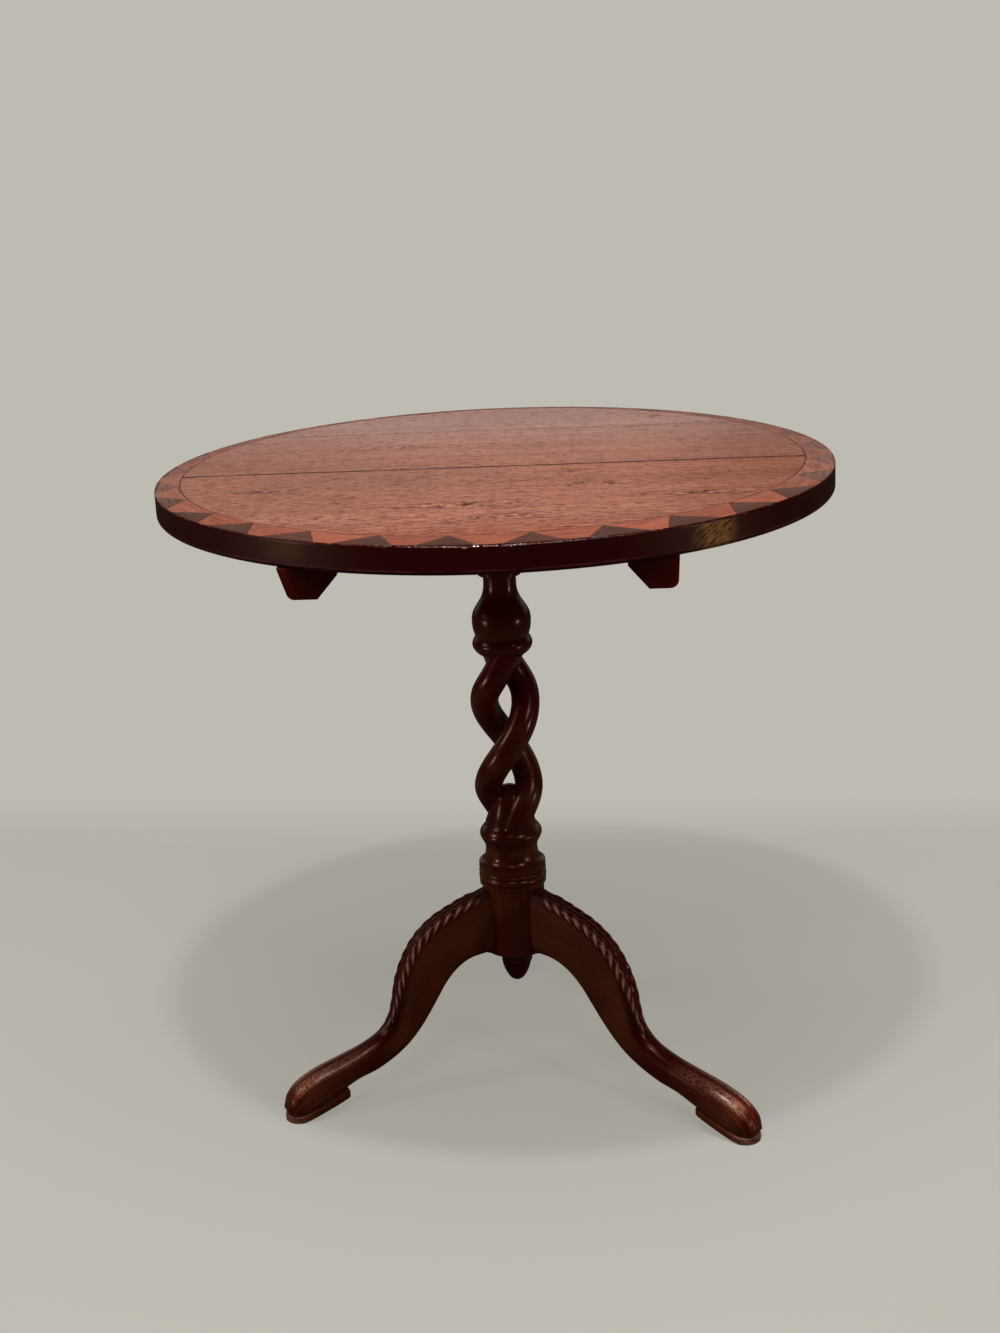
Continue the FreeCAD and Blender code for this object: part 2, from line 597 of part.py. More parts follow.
def strand(turn_deg):
    """One strand of the open twist: a round bar wound right-handed, running into both turned ends."""
    z0 = TWIST_BOTTOM_Z - STRAND_RUN_IN
    z1 = TWIST_TOP_Z + STRAND_RUN_IN
    points = []
    for i in range(STRAND_POINTS):
        z = z0 + (z1 - z0) * i / (STRAND_POINTS - 1)
        a = math.radians(turn_deg - 90.0 + 360.0 * (z - TWIST_FRONT_Z) / TWIST_PITCH)
        r = helix_radius(z)
        points.append(V(r * math.cos(a), r * math.sin(a), z))
    path = Part.BSplineCurve()
    path.interpolate(points)
    along = path.tangent(path.FirstParameter)[0]
    ring = Part.Wire(Part.makeCircle(STRAND_R, points[0], along))
    return Part.Wire(path.toShape()).makePipeShell([ring], True, False)


def wedge_face(half_top, half_tip, z_top, z_tip):
    points = (V(-half_top, 0, z_top), V(half_top, 0, z_top), V(half_tip, 0, z_tip), V(-half_tip, 0, z_tip))
    return polygon_face(points)


def dropped(profile, z):
    """A turned run of (radius, drop) pairs hung from a height."""
    return [(r, z - drop) for r, drop in profile]


def raised(profile, z):
    """A turned run of (radius, rise) pairs standing on a height."""
    return [(r, z + rise) for r, rise in profile]


def make_column():
    tenon_top = UNDER_Z - TENON_SHORT
    shoulder = BLOCK_BOTTOM_Z
    edge_z = shoulder - CAPITAL_EDGE_H
    step_r = CAPITAL_R - CAPITAL_STEP
    step_z = edge_z - CAPITAL_STEP_H
    capital = dropped(CAPITAL_TURNING, shoulder)
    flange = (NECK_FLANGE_R, capital[-1][1] - NECK_FLANGE_H)
    turning = dropped(UPPER_TURNING, shoulder)
    ring = dropped(UPPER_RING, shoulder)
    upper = turned([
        [(0.0, tenon_top), (TENON_R, tenon_top)],
        [(TENON_R, tenon_top), (TENON_R, shoulder)],
        [(TENON_R, shoulder), (CAPITAL_R, shoulder)],
        [(CAPITAL_R, shoulder), (CAPITAL_R + CAPITAL_LIP, (shoulder + edge_z) / 2.0), (CAPITAL_R, edge_z)],
        [(CAPITAL_R, edge_z), (step_r, step_z)],
        [(step_r, step_z)] + capital,
        [capital[-1], flange],
        [flange, turning[0]],
        turning,
        [turning[-1]] + ring,
        [ring[-1]] + dropped(TWIST_TOP_END, TWIST_TOP_Z),
    ])
    band_z = COLLAR_TOP_Z - COLLAR_BAND_H
    foot_z = COLLAR_BOTTOM_Z + COLLAR_FOOT_H
    beads = [dropped(bead, COLLAR_TOP_Z) for bead in COLLAR_BEADS]
    twist_end = raised(TWIST_BOTTOM_END, TWIST_BOTTOM_Z)
    lower = turned([
        twist_end,
        [twist_end[-1]] + raised(LOWER_TURNING, COLLAR_TOP_Z) + [(COLLAR_R, COLLAR_TOP_Z)],
        [(COLLAR_R, COLLAR_TOP_Z), (COLLAR_R, band_z)],
        [(COLLAR_R, band_z), beads[0][0]],
        beads[0],
        beads[1],
        [beads[1][-1], (COLLAR_FOOT_R, foot_z)],
        [(COLLAR_FOOT_R, foot_z), (COLLAR_FOOT_R, COLLAR_BOTTOM_Z)],
        [(COLLAR_FOOT_R, COLLAR_BOTTOM_Z), (PILLAR_R, COLLAR_BOTTOM_Z)],
        [(PILLAR_R, COLLAR_BOTTOM_Z), (PILLAR_R, PILLAR_BOTTOM_Z)],
        [(PILLAR_R, PILLAR_BOTTOM_Z), (0.0, PILLAR_BOTTOM_Z)],
    ])
    column = upper.fuse([lower, strand(0.0), strand(180.0)])
    sockets = []
    for name in LEG_AZIMUTH:
        socket = dovetail(PILLAR_BOTTOM_Z - 1.0, DOVETAIL_TOP_Z + DOVETAIL_CLEARANCE, DOVETAIL_CLEARANCE)
        socket.rotate(V(0, 0, 0), V(0, 0, 1), LEG_AZIMUTH[name])
        sockets.append(socket)
    hole_top = PILLAR_BOTTOM_Z + PENDANT_TENON_L + PENDANT_TENON_SPARE
    cuts = sockets + [rod(PENDANT_TENON_R, V(0, 0, PILLAR_BOTTOM_Z - 1.0), V(0, 0, hole_top))]
    wedge = wedge_face(WEDGE_THICK / 2.0, WEDGE_TIP / 2.0, tenon_top, tenon_top - WEDGE_DEPTH)
    wedge = wedge.extrude(V(0, 2.0 * TENON_R, 0))
    wedge.translate(V(0, -TENON_R, 0))
    inside = rod(TENON_R, V(0, 0, tenon_top - 2.0 * WEDGE_DEPTH), V(0, 0, tenon_top))
    wedge = wedge.common(inside)
    cuts.append(wedge)
    save("column", column.cut(cuts))
    save("tenon_wedge", wedge)

    p = PILLAR_BOTTOM_Z
    tenon_r = PENDANT_TENON_R
    flange_z = p - PENDANT_FLANGE
    pendant = turned([
        [(0.0, p + PENDANT_TENON_L), (tenon_r, p + PENDANT_TENON_L)],
        [(tenon_r, p + PENDANT_TENON_L), (tenon_r, p)],
        [(tenon_r, p), (PENDANT_R, p)],
        [(PENDANT_R, p), (PENDANT_R, flange_z)],
        [(PENDANT_R, flange_z)] + dropped(PENDANT_TURNING, p),
    ])
    save("pendant", pendant)


def dovetail(z0, z1, grow):
    """Dovetail key along a leg's inner end, widening towards the column's axis (leg along +X)."""
    neck = DOVETAIL_NECK / 2.0 + grow
    flare = DOVETAIL_FLARE / 2.0 + grow
    inner = PILLAR_R - DOVETAIL_DEPTH - grow
    outer = PILLAR_R + DOVETAIL_NECK / 3.0
    slope = (flare - neck) / (PILLAR_R - inner)
    tip = neck - slope * (outer - PILLAR_R)
    points = (V(inner, -flare, z0), V(outer, -tip, z0), V(outer, tip, z0), V(inner, flare, z0))
    return polygon_face(points).extrude(V(0, 0, z1 - z0))


def stretched(radius, reach):
    """Radius on a leg of another reach: the root keeps its place and the foot moves out or in."""
    share = max(0.0, min(1.0, (radius - LEG_ROOT_R) / (LEG_STATION_REACH - LEG_ROOT_R)))
    return radius + (reach - LEG_STATION_REACH) * share


def leg_section(upper, lower, half_width, squareness, under):
    """Closed rounded section between an upper and a lower point in the leg's plane."""
    middle = (upper + lower) * 0.5
    arm = (upper - lower) * 0.5
    side = V(0, half_width, 0)
    points = []
    count = 24
    for i in range(count):
        a = 2.0 * math.pi * i / count
        ca = math.cos(a)
        sa = math.sin(a)
        power = squareness if ca > 0.0 else under
        up = math.copysign(abs(ca) ** (2.0 / power), ca)
        out = math.copysign(abs(sa) ** (2.0 / power), sa)
        points.append(middle + arm * up + side * out)
    curve = Part.BSplineCurve()
    curve.interpolate(points, PeriodicFlag=True)
    return Part.Wire(curve.toShape())


def under_sole(reach, height):
    """All that lies below a sole's underside, or below a face that runs at a height above it."""
    toe = reach + CUT_OVERRUN
    bend = reach - PAD_FLAT_FROM_TOE
    heel = reach - PAD_HEEL_FROM_TOE
    lift = height + PAD_HEEL_LIFT
    low = -reach
    line = ((toe, low), (toe, height), (bend, height), (heel, lift), (heel, low))
    side = polygon_face([V(r, -reach, z) for r, z in line])
    return side.extrude(V(0, 2.0 * reach, 0))


def make_leg(name):
    reach = LEG_REACH[name]
    sections = []
    stations = zip(LEG_UPPER_EDGE, LEG_LOWER_EDGE, LEG_WIDTH_SHARE, LEG_SQUARE_POWER, LEG_UNDER_POWER)
    for upper, lower, width, squareness, under in stations:
        high = V(stretched(upper[0], reach), 0, upper[1])
        low = V(stretched(lower[0], reach), 0, lower[1])
        sections.append(leg_section(high, low, width * LEG_HALF_WIDTH, squareness, under))
    leg = Part.makeLoft(sections, True, False)
    far = 2.0 * reach
    leg = leg.cut(under_sole(reach, PAD_THICKNESS))
    pillar = rod(PILLAR_R, V(0, 0, 0), V(0, 0, COLLAR_TOP_Z))
    leg = leg.cut(pillar)
    leg = leg.cut(box(0.0, far, -reach, reach, COLLAR_BOTTOM_Z, COLLAR_TOP_Z))
    key = dovetail(PILLAR_BOTTOM_Z, DOVETAIL_TOP_Z, 0.0)
    key = key.common(rod(PILLAR_R + KEY_OVERRUN, V(0, 0, 0), V(0, 0, COLLAR_TOP_Z)))
    leg = leg.fuse(key).removeSplitter()

    toe = reach
    heel = reach - PAD_HEEL_FROM_TOE
    wide = toe - PAD_WIDEST_FROM_TOE
    nose_x = toe - PAD_NOSE_FROM_TOE
    nose_w = PAD_NOSE_HALF_WIDTH
    mid_w = (PAD_HALF_WIDTH_HEEL + PAD_HALF_WIDTH_TOE) / 2.0 + PAD_SIDE_BULGE
    w0 = PAD_HALF_WIDTH_HEEL
    w1 = PAD_HALF_WIDTH_TOE
    side_a = through([V(heel, -w0, 0), V((heel + wide) / 2.0, -mid_w, 0), V(wide, -w1, 0)])
    nose = through([V(wide, -w1, 0), V(nose_x, -nose_w, 0), V(toe, 0, 0),
                    V(nose_x, nose_w, 0), V(wide, w1, 0)])
    side_b = through([V(wide, w1, 0), V((heel + wide) / 2.0, mid_w, 0), V(heel, w0, 0)])
    back = Part.makeLine(V(heel, w0, 0), V(heel, -w0, 0))
    outline = Part.Face(Part.Wire([side_a, nose, side_b, back]))
    pad = outline.extrude(V(0, 0, 2.0 * (PAD_THICKNESS + PAD_HEEL_LIFT)))
    heel_edges = [e for e in pad.Edges if e.BoundBox.XMax < heel + 1e-6 and e.BoundBox.ZLength > 1.0]
    pad = pad.makeFillet(PAD_HEEL_ROUND, heel_edges)
    pad = pad.common(under_sole(reach, PAD_THICKNESS)).cut(under_sole(reach, 0.0))

    for shape, node in ((leg, "leg_" + name), (pad, "foot_pad_" + name)):
        shape.rotate(V(0, 0, 0), V(0, 0, 1), LEG_AZIMUTH[name])
        save(node, shape)


make_boards()
make_tiles()
make_bearers()
make_block()
make_catch()
make_column()
for leg_name in LEG_REACH:
    make_leg(leg_name)
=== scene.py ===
import math
import random

import bmesh
import bpy
import numpy as np
from mathutils import Matrix, Vector


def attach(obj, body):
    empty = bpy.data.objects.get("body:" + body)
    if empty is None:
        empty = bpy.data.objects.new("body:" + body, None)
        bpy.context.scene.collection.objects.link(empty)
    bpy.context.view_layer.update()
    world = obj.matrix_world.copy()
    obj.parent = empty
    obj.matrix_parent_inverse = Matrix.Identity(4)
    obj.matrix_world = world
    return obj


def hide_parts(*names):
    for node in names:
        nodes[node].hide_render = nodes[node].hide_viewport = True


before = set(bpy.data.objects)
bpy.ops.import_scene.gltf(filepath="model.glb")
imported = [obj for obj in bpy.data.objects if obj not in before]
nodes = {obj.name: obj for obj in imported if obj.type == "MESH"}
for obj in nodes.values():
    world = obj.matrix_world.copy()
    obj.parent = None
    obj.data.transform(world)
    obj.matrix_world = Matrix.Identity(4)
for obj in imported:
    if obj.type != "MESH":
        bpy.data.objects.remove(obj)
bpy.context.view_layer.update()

MM = 0.001
TOP_Z = 690.0
TOP_R = 350.0
BORDER_R = 325.0
BORDER_SHIFT = (-3.0, 16.5)
BOARD_JOINTS = (-3.0, 205.0)
TILE_COUNT = 28
TILE_FIRST = 8.3
TILE_THICK = 2.6
DARK_TILE_SHARE = 0.80
TILE_WANDER = 0.45
SOLE_THICK = 11.0
SOLE_LIFT = 17.0
SOLE_FLAT = 15.0
SOLE_LENGTH = 71.0

LEG_REACH = {"left": 279.0, "right": 314.0, "back": 300.0}
LEG_TURN = {"left": -154.5, "right": -36.0, "back": 92.5}
LEG_HALF_WIDTH = 12.5
LEG_ROOT_R = 40.0
STATION_REACH = 293.0
# Along a leg: radius and height of the upper edge, the same of the lower edge, share of the width, and how
# square the section is above and below.
LEG_STATIONS = np.array((
    (24.0, 225.0, 24.0, 148.5, 1.00, 5.0, 5.0),
    (50.0, 216.5, 40.0, 148.5, 1.00, 5.0, 5.0),
    (75.0, 208.0, 60.0, 145.5, 1.02, 4.6, 4.6),
    (101.0, 197.0, 76.5, 136.5, 1.04, 4.2, 4.2),
    (123.0, 180.0, 90.0, 123.0, 1.05, 3.8, 3.8),
    (139.0, 158.0, 101.0, 107.0, 1.04, 3.4, 3.4),
    (149.0, 135.0, 112.5, 90.0, 1.02, 3.0, 3.0),
    (154.0, 113.0, 125.5, 74.0, 1.02, 2.8, 2.8),
    (160.5, 94.0, 141.0, 59.5, 1.04, 2.7, 2.7),
    (174.5, 78.5, 160.0, 47.5, 1.09, 2.6, 2.6),
    (197.0, 67.5, 182.0, 38.5, 1.16, 2.6, 2.8),
    (225.0, 59.0, 208.0, 33.0, 1.26, 2.6, 3.6),
    (252.0, 51.5, 240.0, 20.0, 1.36, 2.6, 5.0),
    (274.0, 42.0, 267.0, 8.0, 1.36, 2.5, 5.6),
    (287.0, 30.0, 283.5, 4.0, 1.16, 2.4, 5.0),
    (292.0, 19.0, 291.0, 5.0, 0.72, 2.2, 4.0),
))
LEG_GRAIN = {"left": 1.0, "right": 4.0, "back": 8.0}
# Where on the stations a leg begins, and how finely its curve and its sections are worked out.
FIRST_STATION = 0.32
CURVE_STEPS = 3000
SECTION_STEPS = 721
CARVED_STEP = 1.15
PLAIN_STEP = 3.2
# Points round half a section: over the carved band, which is this wide from the ridge, and below it.
CARVED_BAND = 27.0
CARVED_POINTS = 25
PLAIN_POINTS = 17
# Share of the last section and how far it is pushed out, for the rings that close a toe.
TOE_CLOSING = ((0.90, 0.55), (0.68, 0.95), (0.34, 1.15))
# Dovetail key at a leg's root: its height, then its corners, seen from above on a leg along +X.
KEY_BOTTOM_Z = 147.0
KEY_TOP_Z = 211.0
KEY_CORNERS = ((22.0, -8.5), (35.5, -5.6), (35.5, 5.6), (22.0, 8.5))
# Carving on the knee: where it starts and ends along the leg, the step from leaf to leaf, a leaf's length
# in steps and its height.
CARVE_START = 16.0
CARVE_END = 214.0
LEAF_STEP = 14.0
LEAF_LENGTH = 1.75
LEAF_HEIGHT = 2.6

# Inset and height of a sole's rings from the floor up, and how strong the painted highlight, read also as
# rubbed polish, is on each.
SOLE_RINGS = ((0.9, 0.0), (0.25, 0.35), (0.0, 1.1), (0.0, 6.4), (0.25, 7.2), (0.9, 7.8), (2.6, 8.3),
              (2.9, 8.9), (2.9, 11.0))
SOLE_HIGHLIGHT_AND_WEAR = (1.0, 1.0, 0.7, 0.0, 0.7, 0.8, 0.0, 0.0, 0.0)

DARK_TILE_SEED = 31
LIGHT_TILE_SEED = 47
# The part of the rim, in degrees, where the tiles' outer edge is worn most.
WORN_AT = 272.0
WORN_HALF = 20.0
RIM_SEAM = 0.02
TILE_SEAM = 0.06
RIM_EASE = 0.35
TILE_EASE = 0.10

# Knots in the top, in metres: place, half length and half width.
KNOTS = (
    (0.079, -0.035, 0.018, 0.012), (0.094, -0.102, 0.040, 0.020), (-0.030, -0.182, 0.050, 0.020),
    (-0.238, -0.092, 0.028, 0.012), (0.030, -0.235, 0.060, 0.016), (0.21, -0.16, 0.04, 0.014),
    (-0.12, 0.12, 0.03, 0.010), (0.16, 0.262, 0.03, 0.012),
)

FLOOR_R = 1.8
FLOOR_SIDES = 64
# Lamps: name, place, what it is aimed at, width and height in metres, power in watts.
LAMPS = (
    ("overhead_softbox", (0.15, -0.55, 2.9), (0.0, -0.1, 0.6), 2.0, 2.0, 24.0),
    ("ceiling_lamp", (-0.075, -0.78, 2.63), (0.0, 0.0, 0.4), 0.13, 0.11, 20.3),
    ("front_softbox", (0.0, -1.75, 2.6), (0.0, -0.1, 0.1), 0.7, 0.5, 6.0),
    ("left_high_window", (-1.90, -0.60, 1.50), (0.0, -0.05, 0.15), 0.5, 0.5, 5.5),
    ("right_high_window", (1.50, -1.50, 1.75), (0.0, -0.05, 0.15), 0.5, 0.5, 5.0),
    ("left_window", (-1.9, -0.95, 0.36), (0.0, 0.0, 0.42), 0.12, 0.20, 3.6),
    ("right_window", (1.95, -0.80, 0.36), (0.0, 0.0, 0.42), 0.12, 0.20, 3.0),
)
# The camera that was fitted to the photograph, which is this many pixels high.
FRAME_HEIGHT = 1333.0
FOCAL_PIXELS = 2050.41
SENSOR = 36.0
CAMERA_PLACE = (0.10984, -2.09582, 1.11130)
CAMERA_HEADING = 3.101
CAMERA_DOWN = 16.942
CAMERA_ROLL = -2.638


class Wire:
    """A socket in one node tree. Arithmetic on it adds Math nodes, node() adds any other."""

    def __init__(self, tree, socket=None):
        self.tree = tree
        self.socket = socket

    def node(self, kind, settings=None, sockets=None, out=0):
        made = self.tree.nodes.new(kind)
        for name, value in (settings or {}).items():
            setattr(made, name, value)
        for name, value in (sockets or {}).items():
            if isinstance(value, Wire):
                self.tree.links.new(value.socket, made.inputs[name])
            else:
                made.inputs[name].default_value = value
        return Wire(self.tree, made.outputs[out])

    def maths(self, operation, *values):
        return self.node("ShaderNodeMath", {"operation": operation}, dict(enumerate(values)))

    def __add__(self, other):
        return self.maths("ADD", self, other)

    def __radd__(self, other):
        return self.maths("ADD", other, self)

    def __sub__(self, other):
        return self.maths("SUBTRACT", self, other)

    def __rsub__(self, other):
        return self.maths("SUBTRACT", other, self)

    def __mul__(self, other):
        return self.maths("MULTIPLY", self, other)

    def __rmul__(self, other):
        return self.maths("MULTIPLY", other, self)

    def __truediv__(self, other):
        return self.maths("DIVIDE", self, other)

    def __pow__(self, other):
        return self.maths("POWER", self, other)

    def __abs__(self):
        return self.maths("ABSOLUTE", self)


def tone(red, green, blue):
    """A colour written as a screen shows it, 0 to 255, in the renderer's own linear values."""
    def linear(level):
        share = level / 255.0
        if share <= 0.04045:
            return share / 12.92
        return ((share + 0.055) / 1.055) ** 2.4
    return (linear(red), linear(green), linear(blue), 1.0)


def finish(name):
    """A new material: the material, a Wire to build on and its surface shader."""
    material = bpy.data.materials.new(name)
    material.use_nodes = True
    tree = material.node_tree
    shader = tree.nodes["Principled BSDF"]
    return material, Wire(tree), shader


def lay(node, sockets):
    """Sets or links the sockets of a node that is already there."""
    for name, value in sockets.items():
        if isinstance(value, Wire):
            value.tree.links.new(value.socket, node.inputs[name])
        else:
            node.inputs[name].default_value = value


def piece_place(bench):
    return bench.node("ShaderNodeTexCoord", out="Object")


def part_of(vector, axis):
    return vector.node("ShaderNodeSeparateXYZ", sockets={"Vector": vector}, out=axis)


def parts_of(vector):
    return [part_of(vector, axis) for axis in "XYZ"]


def stretched(vector, x, y, z):
    return vector.node("ShaderNodeVectorMath", {"operation": "MULTIPLY"}, {0: vector, 1: (x, y, z)})


def joined(bench, x, y, z):
    return bench.node("ShaderNodeCombineXYZ", sockets={"X": x, "Y": y, "Z": z})


def clouds(vector, detail, rough=0.55):
    """Soft noise, one blob to a unit of the vector."""
    sockets = {"Vector": vector, "Scale": 1.0, "Detail": detail, "Roughness": rough}
    return vector.node("ShaderNodeTexNoise", {"noise_dimensions": "3D"}, sockets)


def rise(value, low, high):
    """0 below low, 1 above high, smooth between."""
    sockets = {"Value": value, "From Min": low, "From Max": high}
    return value.node("ShaderNodeMapRange", {"interpolation_type": "SMOOTHSTEP"}, sockets)


def fall(value, low, high):
    """1 below low, 0 above high, smooth between."""
    return 1.0 - rise(value, low, high)


def paint(mask, under, over):
    """The colour under, with over laid on where the mask is 1."""
    settings = {"data_type": "RGBA", "blend_type": "MIX"}
    return mask.node("ShaderNodeMix", settings, {0: mask, 6: under, 7: over}, out=2)


def shaded(colour, amount):
    """A colour made darker or lighter by a value around 1."""
    grey = joined(amount, amount, amount, amount)
    settings = {"data_type": "RGBA", "blend_type": "MULTIPLY"}
    return amount.node("ShaderNodeMix", settings, {0: 1.0, 6: colour, 7: grey}, out=2)


def raised(height, strength, distance):
    sockets = {"Strength": strength, "Distance": distance, "Height": height}
    return height.node("ShaderNodeBump", sockets=sockets)


def carried(bench, name, out="Fac"):
    """A value that the piece's own mesh carries at each point."""
    return bench.node("ShaderNodeAttribute", {"attribute_name": name}, out=out)


POLISH_TINT = (1.0, 0.50, 0.38, 1.0)
RIM_MAROON = tone(47, 2, 1)
RIM_GOLD = tone(156, 112, 52)
RIM_SHEEN_BROWN = tone(82, 36, 15)


def plank_grain(bench, x, y, seed):
    """Grain that runs along x: slow bands, streaks, and short dark flecks of two sizes."""
    drift = clouds(joined(bench, x * 2.2, y * 3.5, seed), 2.0)
    bent = y + (drift - 0.5) * 0.034
    bands = clouds(joined(bench, x * 1.5, bent * 30.0, seed + 3.0), 4.0, 0.6)
    streaks = clouds(joined(bench, x * 17.0, bent * 230.0, seed + 7.0), 5.0, 0.7)
    flecks = clouds(joined(bench, x * 78.0, bent * 300.0, seed + 11.0), 5.0, 0.72)
    pores = clouds(joined(bench, x * 120.0, bent * 760.0, seed + 17.0), 2.0, 0.5)
    return bands, streaks, flecks, rise(pores, 0.52, 0.66)


def rim_finish(bench, x, y, z):
    """Dark varnish on the rim: its mask, colour and gloss, with the rubbed places on it, golden scratches
    under a painted golden sheen, a painted brown reflection towards its ends and a painted highlight along
    its lower edge.
    """
    radius = (x * x + y * y) ** 0.5
    mask = rise(radius, 0.3450, 0.3462)
    angle = bench.maths("ARCTAN2", y, x)
    rub = clouds(joined(bench, angle * 9.0, z * 55.0, 2.0), 4.0, 0.6)
    hatch = clouds(joined(bench, (angle - z * 5.0) * 120.0, (angle + z * 4.0) * 18.0, 5.0), 2.0)
    # Golden places: worn scratches at the right with a painted golden reflection on them, and a faint
    # painted sheen high on the left.
    right_wear_and_sheen = fall(abs(angle + math.radians(52.5)), 0.02, 0.095)
    left_sheen = fall(abs(angle + math.radians(120.5)), 0.02, 0.085) * rise(z, 0.668, 0.680)
    hatched = 0.15 + rise(hatch, 0.44, 0.56) * 0.85
    gold = bench.maths("MAXIMUM", right_wear_and_sheen * hatched, left_sheen * 0.12) * rise(rub, 0.28, 0.50)
    # Painted reflection: a lighter brown sheen towards the rim's left and right ends, broken up by the rub
    # noise.
    sides = rise(abs(angle + math.radians(90.0)), 0.85, 1.35)
    painted_side_sheen = rise(rub, 0.46, 0.72) * (0.03 + sides * 0.60)
    colour = paint(painted_side_sheen, RIM_MAROON, RIM_SHEEN_BROWN)
    colour = paint(gold, colour, RIM_GOLD)
    # Painted highlight: a thin lighter line along the rim's rounded lower edge.
    low_edge_highlight = fall(abs(z - 0.6668), 0.0003, 0.0012) * rise(rub, 0.35, 0.6) * 0.6
    colour = paint(low_edge_highlight, colour, tone(104, 52, 42))
    gloss = 0.40 + rub * 0.14 + gold * 0.12
    return mask, colour, gloss


def board_finish(name, seed, warm, shift_y):
    """Polished top on one side, varnished rim, plain wood below."""
    material, bench, shader = finish(name)
    place = piece_place(bench)
    x, y, z = parts_of(place)
    bent = y
    eyes = None
    for kx, ky, wide, deep in KNOTS:
        away = ((x - kx) / wide) ** 2.0 + ((y - ky) / deep) ** 2.0
        near = bench.maths("EXPONENT", away * -0.5)
        bent = bent + near * ((y - ky) * -0.9)
        eye = near ** 5.0
        eyes = eye if eyes is None else bench.maths("MAXIMUM", eyes, eye)
    bands, streaks, flecks, pores = plank_grain(bench, x, bent + shift_y, seed)

    def banded(low, high):
        return paint(rise(bands, 0.36, 0.64), low, high)

    blotch = clouds(stretched(place, 5.0, 9.0, 5.0), 3.0)
    wear = clouds(stretched(place, 2.6, 4.2, 2.0), 2.0)
    front = fall(y, -0.27, 0.02)
    back = rise(y, 0.02, 0.30)
    brown_left = fall(((x + 0.11) / 0.20) ** 2.0 + ((y + 0.045) / 0.085) ** 2.0, 0.1, 1.0)
    colour = paint(rise(bands, 0.32, 0.68), warm[0], warm[1])
    colour = paint(front * 0.80, colour, banded(tone(164, 94, 68), tone(196, 122, 91)))
    # Paler, pinker wood towards the back: the boards' own tone, and partly a painted reflection of the wall.
    colour = paint(back * 0.85, colour, banded(tone(172, 124, 110), tone(196, 152, 138)))
    colour = paint(brown_left * 0.45, colour, tone(142, 101, 84))
    left = fall(x, -0.27, -0.08)
    colour = paint(left * (1.0 - back) * 0.60, colour, tone(152, 105, 88))
    low_front = fall(y, -0.32, -0.24)
    far_right = rise(x - y * 0.08, 0.12, 0.29)
    colour = paint(low_front * 0.80, colour, banded(tone(140, 74, 50), tone(170, 94, 65)))
    colour = shaded(colour, 1.0 - far_right * 0.26)
    # Painted sheen: a pale painted reflection of the wall laid over the top, strongest towards the back.
    bloom_and_sheen = (0.16 + back * 0.36) * (1.0 - low_front) * (1.0 - far_right * 0.8)
    bloom_and_sheen = bloom_and_sheen * (1.0 - left * (1.0 - back) * 0.5)
    colour = paint(bloom_and_sheen, colour, tone(198, 160, 146))
    lively = 0.70 + front * 0.36 - back * 0.08
    colour = paint(rise(streaks, 0.52, 0.66) * lively * 0.9, colour, warm[2])
    colour = paint(fall(streaks, 0.32, 0.46) * lively * 0.7, colour, warm[3])
    colour = paint(rise(flecks, 0.54, 0.62) * lively * 1.1, colour, tone(84, 38, 28))
    colour = paint(fall(flecks, 0.34, 0.46) * lively * 0.55, colour, tone(214, 156, 131))
    dashes = clouds(joined(bench, x * 120.0, (bent + shift_y) * 520.0, seed + 23.0), 3.0, 0.6)
    dashed = rise(dashes, 0.56, 0.63) * rise(blotch * 0.5 + flecks * 0.5, 0.42, 0.56)
    colour = paint(dashed * (0.34 + front * 0.50), colour, tone(92, 46, 36))
    colour = paint(pores * 0.30, colour, tone(84, 44, 33))
    figure = eyes * rise(flecks * 0.6 + streaks * 0.4, 0.42, 0.56)
    colour = paint(figure * 0.85, colour, tone(66, 36, 29))
    colour = shaded(colour, 0.80 + blotch * 0.42)
    seam = None
    for joint in BOARD_JOINTS:
        weight = 1.0 if joint < 100.0 else 0.30
        drift = (clouds(joined(bench, x * 6.0, 3.0, 7.0), 2.0) - 0.5) * 0.004
        line = fall(abs(y - joint * MM + drift), 0.0014, 0.0032) * weight
        seam = line if seam is None else bench.maths("MAXIMUM", seam, line)
    field = ((x - BORDER_SHIFT[0] * MM) ** 2.0 + (y - BORDER_SHIFT[1] * MM) ** 2.0) ** 0.5
    ring = fall(abs(field - BORDER_R * MM), 0.0006, 0.0018) * (0.90 - front * 0.45)
    worn_line = rise(clouds(stretched(place, 20.0, 20.0, 20.0), 3.0), 0.30, 0.50)
    seam = bench.maths("MAXIMUM", seam, ring) * (0.55 + worn_line * 0.45)
    colour = paint(seam, colour, tone(46, 22, 17))
    below = fall(z, 0.6627, 0.6631)
    saw = clouds(stretched(place, 30.0, 700.0, 30.0), 2.0)
    colour = paint(below, colour, paint(rise(bands, 0.3, 0.7), tone(92, 60, 42), tone(118, 80, 56)))
    varnish, rim_colour, rim_gloss = rim_finish(bench, x, y, z)
    colour = paint(varnish, colour, rim_colour)
    gloss = 0.40 + wear * 0.14 + flecks * 0.10 + eyes * 0.05
    gloss = gloss + (0.72 - gloss) * below
    gloss = gloss + (rim_gloss - gloss) * varnish
    relief = (streaks * 0.35 - pores * 0.8 - seam * 1.4 + saw * below * 1.2) * (1.0 - varnish * 0.9)
    lay(shader, {
        "Base Color": colour,
        "Roughness": gloss,
        "Specular IOR Level": 0.24,
        "Specular Tint": POLISH_TINT,
        "Normal": raised(relief, 0.35, 0.0004),
    })
    return material


